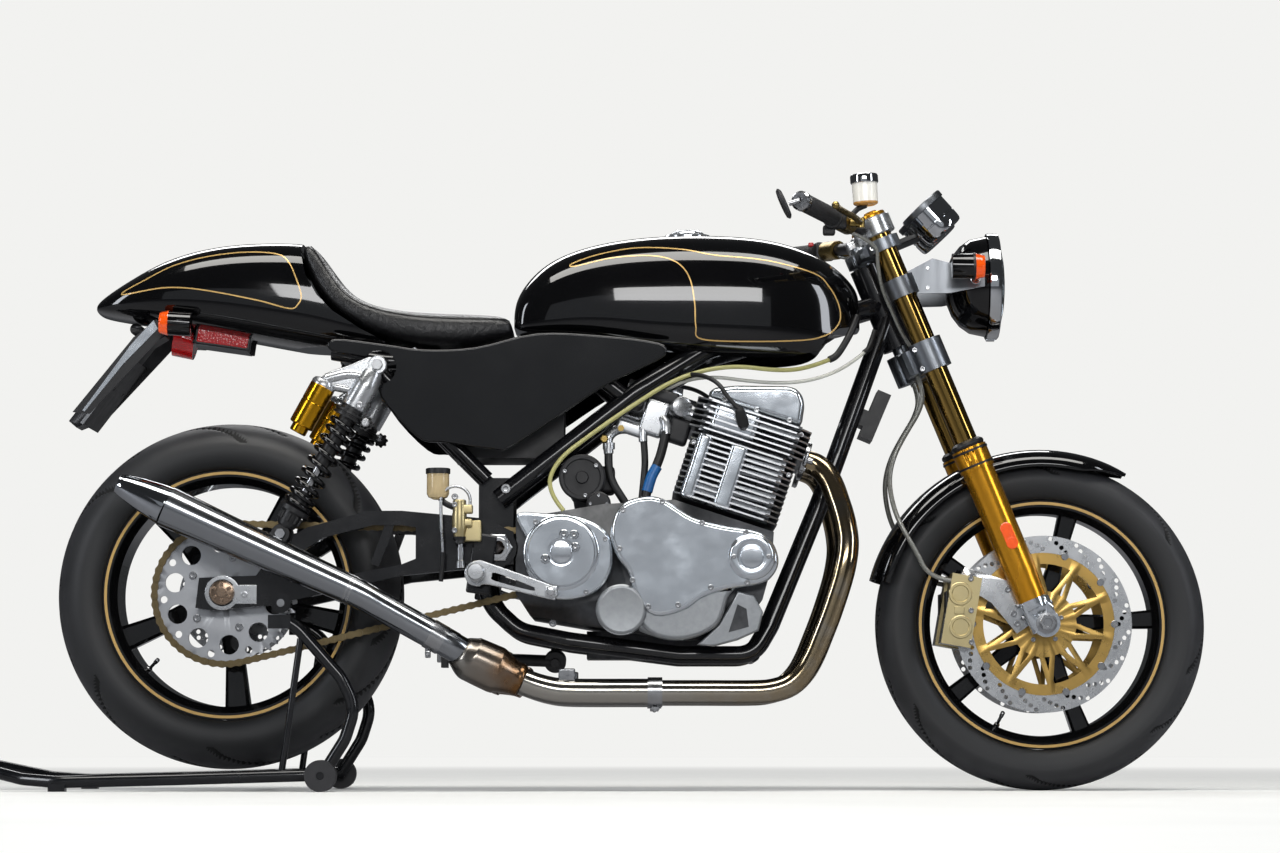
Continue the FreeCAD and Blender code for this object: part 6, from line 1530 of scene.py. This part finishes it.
keep(knobs, "stand_bobbins", "root", SATIN)
make("bobbin_screws", "root", BRIGHT, [(lathe, [(0, 7), (2, 7), (2.2, 0)], (-513, -177.6, 334), RIGHT, 24)],
    both=True)
for node, material in (("frame_backbone", POWDER), ("frame_cradle", POWDER), ("rear_subframe", POWDER),
                       ("swingarm", POWDER), ("side_stand", SATIN), ("airbox", PLASTIC), ("regulator", SATIN),
                       ("paddock_stand", STAND_PAINT), ("stand_roller_right", ROLLER_NYLON),
                       ("stand_roller_left", ROLLER_NYLON), ("rear_caliper", GOLD_ALLOY)):
    paint(node, material)
bm = bmesh.new()
lathe(bm, [(-164, 12.5), (-164, 23.6), (164, 23.6), (164, 12.5)], (-128, 0, 433), LEFT, 48, closed=True)
keep(bm, "pivot_spindle", "root", AXLE_STEEL, replaces=["swingarm_spindle"])
bm = bmesh.new()
lathe(bm, [(160.3, 14), (160.3, 27), (166, 27), (167.4, 25), (167.4, 14)], (-128, 0, 433), RIGHT, 6,
    closed=True)
lathe(bm, [(160.3, 13), (160.3, 19), (168.2, 19), (169, 18), (169, 13)], (-128, 0, 433), RIGHT, 48,
    closed=True)
mirrored(bm)
keep(bm, "pivot_nuts", "root", BRIGHT)
tell("sprocket and axle")

# %% [markdown]
# ## Rear shocks
# A coil spring is round wire on a helix whose rings close up at both ends, so its climb eases in and out.
# The head is one casting with an arm to the gold gas bottle. All is drawn along the shock's own axis for
# the right side, and mirrored.

# %% Shocks
SHOCK_LOW, SHOCK_TOP = Vector((-514, -178, 457)), Vector((-343, -178, 759))
ALONG_SHOCK = (SHOCK_TOP - SHOCK_LOW).normalized()


def on_shock(reach, ahead=0.0, out=0.0):
    across = Vector((ALONG_SHOCK.z, 0, -ALONG_SHOCK.x))
    return SHOCK_LOW + ALONG_SHOCK * reach + across * ahead + Vector((0, -out, 0))


COILS = 9
COIL_LOW, COIL_TOP = 57, 233
COIL_RADIUS, WIRE_RADIUS = 22.8, 5.1
silver, black, gold, spring, bolts = sheets(5)
lathe(silver, [(258, 0), (258, 21), (260, 23.8), (302, 23.9), (310, 22), (330, 18), (338, 12), (338, 0)],
    SHOCK_LOW, ALONG_SHOCK, 48)
web = bent([(-352, 772), (-346, 744), (-366, 712), (-384, 694), (-398, 716), (-420, 722), (-436, 716),
    (-446, 732), (-430, 746), (-396, 758), (-368, 770)], 4)
cover(silver, web, -188, -172, 4, 3, (0, 1))
lathe(silver, [(-12, 9.4), (-12, 15), (-10.6, 16.4), (10.6, 16.4), (12, 15), (12, 9.4)], SHOCK_TOP)
arm_end = Vector((-434, -182, 733))
hose(silver, rounded([on_shock(318, -8), Vector((-392, -181, 742)), Vector((-416, -182, 738)), arm_end],
    steps=5), 11, 20)
hose(silver, rounded([on_shock(288, -12), Vector((-398, -181, 716)), Vector((-428, -182, 722))], steps=5), 8,
    16)
lathe(silver, [(0, 0), (0, 22.4), (5, 23), (11, 20), (14, 12), (14, 0)],
    Vector((-437, -182, 727)) - Vector((0.48, 0, 0.88)) * 8, (0.48, 0, 0.88), 48)
bottle_axis = (Vector((-437, -182, 727)) - Vector((-479, -182, 650))).normalized()
lathe(gold, [(-14, 0), (-14, 14), (-12, 15.6), (-1, 15.6), (0, 21), (2, 22.7), (44, 22.9), (46, 22.2),
    (48, 22.9), (79, 22.9), (80, 22), (80, 0)], (-479, -182, 650), bottle_axis, 64)
lathe(black, [(238, 0), (238, 28.6), (242, 28.8), (243, 27), (245, 27), (246, 28.8), (250, 28.6), (251, 21),
    (262, 20.6), (262, 0)], SHOCK_LOW, ALONG_SHOCK, 48)
lathe(black, [(44, 0), (44, 28.6), (52, 28.8), (53, 24), (57, 20), (66, 17.6), (76, 16), (86, 12.4), (86, 0)],
    SHOCK_LOW, ALONG_SHOCK, 48)
lathe(black, [(14, 0), (14, 14), (20, 18), (44, 19), (44, 0)], SHOCK_LOW, ALONG_SHOCK, 40)
for slot in range(8):
    angle = slot * math.pi / 4
    lug = on_shock(33, 19 * math.cos(angle), 19 * math.sin(angle))
    pin(black, 3.2, -7, 7, lug, ALONG_SHOCK, 10)
lathe(black, [(-12, 8.4), (-12, 16.4), (12, 16.4), (12, 8.4)], SHOCK_LOW)
lathe(bolts, [(86, 7), (86, 8), (150, 8), (150, 7)], SHOCK_LOW, ALONG_SHOCK, 32)
lathe(black, [(140, 0), (140, 13), (142, 14.6), (238, 14.6), (238, 0)], SHOCK_LOW, ALONG_SHOCK, 40)
helix = []
for step in range(COILS * 24 + 1):
    share = step / (COILS * 24)
    closed_up = 0.5 - math.cos(share * math.pi) / 2
    climb = COIL_LOW + (COIL_TOP - COIL_LOW) * (0.7 * share + 0.3 * closed_up)
    angle = 2 * math.pi * COILS * share
    helix.append(on_shock(climb, COIL_RADIUS * math.cos(angle), COIL_RADIUS * math.sin(angle)))
hose(spring, helix, WIRE_RADIUS, 12)
for place in (SHOCK_LOW, SHOCK_TOP):
    lathe(bolts, [(-18, 0), (-18, 9.4), (-16, 10.4), (-13, 10.4), (-13, 8.2), (46, 8.2), (46, 0)], place,
        LEFT, 6)
screw(bolts, on_shock(268, 10, 22), RIGHT, 6, 4)
knob = on_shock(246, 34, 4)
lathe(bolts, [(0, 0), (0, 8), (10, 8), (12, 6), (12, 0)], knob + Vector((0, -8, 0)), RIGHT, 24)
for notch in range(8):
    pin(black, 2.6, 0, 12, polar(knob, 11, 45 * notch, knob.y + 4), RIGHT, 8)
pin(black, 11, 0, 12, knob + Vector((0, 4, 0)), RIGHT, 24)
brick(silver, on_shock(246, 26, 2), (20, 12, 14), 3)
mirrored(silver, black, gold, spring, bolts)
keep(silver, "shock_castings", "root", MACHINED, replaces=["rear_shocks"])
keep(black, "shock_collars", "root", SATIN)
keep(gold, "gas_bottles", "root", RESERVOIR_GOLD)
keep(spring, "coil_springs", "root", LACQUER, replaces=["shock_springs"], sharp=80)
keep(bolts, "shock_bolts", "root", BRIGHT)
tell("shocks")

# %% [markdown]
# ## Rear brake master cylinder
# A small casting with a pot of amber plastic for the fluid, all of it turned or cut from bar. Its braided
# line loops over from the top and drops into a rubber sleeve, so it is a cord between two fittings.

# %% Rear brake master cylinder
make("rear_master_casting", "root", GOLD_ALLOY, [(lathe, [(-33, 0), (-33, 10), (-20, 12), (-18, 13), (8, 13),
    (10, 12), (31, 12), (33, 10), (33, 0)], (-195, -191, 484), UP, 32), (brick, (-184, -191, 500),
    (26, 18, 16), 3), (brick, (-182, -191, 476), (20, 16, 14), 3), (brick, (-172, -179.6, 462), (32, 14, 38),
    3)], replaces=["rear_brake_master"])
make("rear_fluid_pot", "root", finish("amber_pot", "#B9A683", "#9E8B66", 0.22, 0, 14, 2, 0.01, coat=0.4),
    [(lathe, [(-10, 8), (-6, 17), (0, 20), (36, 20), (36, 0)], (-234, -180, 528), UP, 40)])
make("rear_brake_rubber", "root", SATIN, [(lathe, [(0, 20), (0, 21.6), (1, 22), (9, 22), (10, 20), (10, 0)],
    (-234, -180, 564), UP, 20), (lathe, [(-33, 0), (-33, 12), (-38, 11), (-40, 9), (-44, 10), (-46, 8),
    (-46, 0)], (-195, -191, 484), UP, 32), (hose, rounded([(-224, -188, 424), (-226, -184, 392),
    (-228, -182, 372)]), 4.2, 12), (hose, rounded([(-232, -181, 524), (-222, -186, 512), (-206, -190, 504)]),
    5.4, 12)])
make("rear_brake_fittings", "root", BRIGHT, [(screw, (-203, -194, 522), RIGHT, 6, 5),
    (screw, (-203, -199, 508), RIGHT, 5, 4), (screw, (-203, -200, 462), RIGHT, 5, 4), (lathe, [(-52, 0),
    (-52, 6), (-74, 6), (-76, 8), (-88, 8), (-88, 0)], (-193, -191, 484), UP, 20),
    (pin, 4.4, -32, -56, (-193, -191, 484), UP, 16)])
cable("rear_brake_line", [(-176, -192, 502), (-176, -192, 505), (-176, -192, 526), (-191, -192, 541),
    (-213, -192, 541), (-228, -192, 526), (-228, -192, 505), (-227, -192, 464), (-224, -188, 424),
    (-226, -185, 396)], 5.6, FIN_METAL)
tell("rear brake master cylinder")

# %% [markdown]
# ## Foot controls
# The pedal is a forged arm with a slot milled through it: one cover shape with a thinner one cut out of
# it. The left arm is the same mesh at the other side, so the slot is cut only once.

# %% Foot controls
arm, peg, dark = sheets(3)
outline = bent([(-184, 385), (-176, 366), (-158, 361), (-140, 364), (-34, 338.5), (-24, 342), (-22, 354),
    (-32, 364), (-142, 403), (-160, 407), (-176, 401)], 4)
cover(arm, outline, -231.6, -222.4, 2, 3)
pedal = keep(arm, "pedal_arm_right", "root", MACHINED, replaces=["foot_controls"], sharp=40)
slot = bmesh.new()
prism(slot, bent([(-130, 371), (-66, 354), (-60, 357.5), (-66, 362), (-128, 385), (-135, 379)], 4), -250,
    -200)
carve(pedal, slot, "pedal_slot")
bm = bmesh.new()
bm.from_mesh(pedal.data)
bmesh.ops.scale(bm, vec=(1, -1, 1), verts=bm.verts)
bmesh.ops.reverse_faces(bm, faces=bm.faces)
keep(bm, "pedal_arm_left", "root", MACHINED, sharp=40)
ribs = [(0, 0), (0, 11), (10, 11), (12, 15)]
for rib in range(9):
    ribs += [(14 + rib * 6, 15), (17 + rib * 6, 15), (18 + rib * 6, 13.2), (19 + rib * 6, 13.2)]
ribs += [(70, 15), (73, 13), (73.6, 0)]
lathe(peg, ribs, (-161, -232, 384), RIGHT, 40)
lathe(peg, [(0, 0), (0, 16), (4, 17), (54, 17), (56, 15), (56, 0)], (-161, -166, 384), RIGHT, 40)
lathe(peg, [(0, 0), (0, 6), (6, 7.8), (33, 7.8), (34, 6), (34, 0)], (-31, -232, 352), RIGHT, 24)
brick(peg, (-31, -226, 352), (24, 13, 20), 3)
brick(dark, (-156, -165.65, 404), (43, 10.2, 108), 4, turned(8))
mirrored(peg, dark)
keep(peg, "foot_pegs", "root", MACHINED)
keep(dark, "peg_hangers", "root", POWDER)
tell("foot controls")

# %% [markdown]
# ## Tail lamps and plate holder
# The lamps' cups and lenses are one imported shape, told apart by where each face lies. The plate holder is
# bare: the photograph shows only its bright edge, a thin polished strip on each dark cheek.

# %% Tail lamps and plate holder
def tail_zone(at, out):
    if at.x < -725.5 and abs(at.y) > 90:
        return 1
    return 2 if at.x < -691 and abs(at.y) < 40 and at.z < 862 else 0


zoned("rear_lamps", [LACQUER, AMBER, RUBY], tail_zone, cuts=[((-726.5, 0, 0), FORWARD)], sharp=35)
zoned("plate_bracket", [SATIN, BRIGHT], lambda at, out: int(abs(out.y) > 0.9 and abs(at.y) > 60), sharp=35)
edge, red, frame_red = sheets(3)
cheek = bmesh.new()
prism(cheek, [(-902, 683), (-871, 680), (-737, 826), (-734, 838), (-752, 852), (-786, 824), (-799, 812)],
    -91.5, -88.5)
prism(edge, [(-884, 686), (-880, 684), (-810, 772), (-749, 835), (-757, 850), (-785, 820), (-798, 805)],
    -92.4, -91.5)
brick(red, (-636, -48.6, 822), (94, 4, 24), 2, turned(8))
brick(frame_red, (-636, -47.8, 822), (102, 3, 31), 1.5, turned(8))
mirrored(cheek, edge, red, frame_red)
keep(cheek, "holder_cheeks", "root", SATIN)
keep(edge, "bracket_edges", "root", POLISHED)
keep(red, "side_markers", "root", RUBY)
keep(frame_red, "side_marker_frames", "root", SATIN)
make("rear_bolts", "root", BRIGHT, [(screws, [(-513, 392), (-540, 420)], 122, 5, 5), (screws, [(-280, 791),
    (-64, 815)], -131, 5, 5)])
tell("tail lamps")

# %% [markdown]
# ## Brake hoses
# The two front hoses leave the lower yoke and loop down behind the legs to the calipers. They are braided
# lines under clear sleeve, so they look grey. Each is one smooth line through the route's points.

# %% Brake hoses
BRAIDED = finish("braided_line", "#8F8F89", "#6F6F6B", 0.3, 0.5, 5, 0.6, 0.04, coat=0.4)
HOSE_TOP = 524 - 56 * 0.4 - 0.3
ROUTE = [on_fork(HOSE_TOP, -30, -54), on_fork(HOSE_TOP - 32, -30, -54), (636, -52, 688), (612, -50, 650),
    (588, -48, 606), (578, -60, 561), (585, -76, 512), (600, -84, 474), (626, -84, 430), (648, -80, 384.6),
    (687.6, -80, 377.8)]
for side, name in ((1, "right"), (-1, "left")):
    cable(f"brake_hose_{name}", [(p[0], side * p[1], p[2]) for p in ROUTE], 9, BRAIDED, "steering",
        ["brake_hoses"])
    upper = [on_bar(0.3, 4, 10, -12), (556, -132, 986), (556, -118, 950), (566, -96, 906), (586, -76, 866),
        (604, -62, 828), on_fork(524 + 26, -20, -56)]
    cable(f"upper_hose_{name}", [(p[0], side * p[1], p[2]) for p in upper], 7, BRAIDED, "steering")
tell("rear and hoses")

# %% [markdown]
# ## Floor
# The bike stands on a wide pale floor that fades into the pale room, so it can be looked at from any
# side. A curved backdrop would hide it from behind, and a fade in the floor's own shader does not.

# %% Floor
ROOM_PALE = "#F2F2F0"
FADE_FROM = 1.6
FADE_TO = 6.0


def floor_paper():
    material, shader, place = blank("studio_paper")
    tone = blend(material, noise(material, place, Scale=3.0, Detail=3.0), "#E9E9E6", "#F3F3F1")
    ray = add(material, "LightPath", {}).outputs
    # Seen in a reflection, the floor is a darker grey: painted shade, as black flags would make it.
    seen = blend(material, ray["Is Glossy Ray"], tone, "#8A8A8D")
    fade = ranged(material, maths(material, "VectorMath", "LENGTH", place), FADE_FROM, FADE_TO)
    glow = maths(material, "Math", "MULTIPLY", fade, ray["Is Camera Ray"])
    return wire(material, shader, {"Base Color": blend(material, glow, seen, "#000000"),
        "Emission Strength": glow, "Emission Color": ROOM_PALE, "Roughness": 0.6})


def studio_floor():
    bm = bmesh.new()
    bmesh.ops.create_circle(bm, cap_ends=True, radius=12, segments=96)
    mesh = bpy.data.meshes.new("studio_floor")
    bm.to_mesh(mesh)
    bm.free()
    mesh.materials.append(floor_paper())
    paper = bpy.data.objects.new("studio_floor", mesh)
    scene.collection.objects.link(paper)


studio_floor()
print("floor fades from", FADE_FROM, "to", FADE_TO, "m")

# %% [markdown]
# ## Lamps and room
# Black paint shows mostly what it reflects, so the lamps are long soft boxes: one overhead, one low at
# the front, one at each end, and a wide dim panel behind the camera that the flat covers mirror. Rays
# that have bounced off paint or chrome see the room darker, as a photographer's black flags would make it.

# %% Lamps
def lamp(name, place, aim_at, size, power, colour="#FFFFFF"):
    data = bpy.data.lights.new(name, "AREA")
    data.shape = "RECTANGLE"
    data.size, data.size_y = size
    data.energy = power
    data.color = linear(colour)[:3]
    light = bpy.data.objects.new(name, data)
    light.location = place
    light.rotation_euler = (Vector(aim_at) - Vector(place)).to_track_quat("-Z", "Y").to_euler()
    scene.collection.objects.link(light)


lamp("overhead_box", (0.1, -0.9, 3.2), (0.1, 0, 0.5), (3.6, 1.0), 95, "#FFFDF8")
lamp("front_box", (0.3, -4.6, 1.9), (0.1, 0, 0.5), (2.6, 0.7), 62)
lamp("side_strip", (-3.4, -2.2, 1.6), (-0.3, 0, 0.6), (0.5, 2.2), 40, "#F4F8FF")
lamp("far_strip", (3.6, -2.0, 1.7), (0.6, 0, 0.6), (0.5, 2.2), 34, "#F4F8FF")
lamp("back_box", (-0.3, 3.4, 3.2), (0, 0, 0.5), (3.6, 0.8), 55)
lamp("room_panel", (-0.4, -7.8, 1.3), (0.1, 0, 0.6), (7.0, 2.4), 18, "#EEF3FA")
world = bpy.data.worlds.new("studio_room")
world.use_nodes = True
ray = add(world, "LightPath", {}).outputs
direct = maths(world, "Math", "ADD", ray["Is Camera Ray"], ray["Is Transmission Ray"], clamp=True)
dimmed = ranged(world, ray["Is Glossy Ray"], 0.0, 1.0, 0.42, 0.07)
wire(world, world.node_tree.nodes["Background"], {"Color": blend(world, direct, "#C8CCD0", ROOM_PALE),
    "Strength": maths(world, "Math", "MAXIMUM", dimmed, direct)})
scene.world = world
print("lamps", len(bpy.data.lights))

# %% [markdown]
# ## Flat faces stay flat
# Smooth shading averages the normals round each corner, which makes a flat face beside a bevel look
# swollen. Weighting each normal by its face's area gives the flat faces back, and leaves the bevels round.

# %% Weighted normals
for piece in MADE:
    if piece.type == "MESH" and not piece.modifiers:
        weighted = piece.modifiers.new("weighted", "WEIGHTED_NORMAL")
        weighted.weight = 60
        weighted.keep_sharp = True
print("pieces", len(MADE))
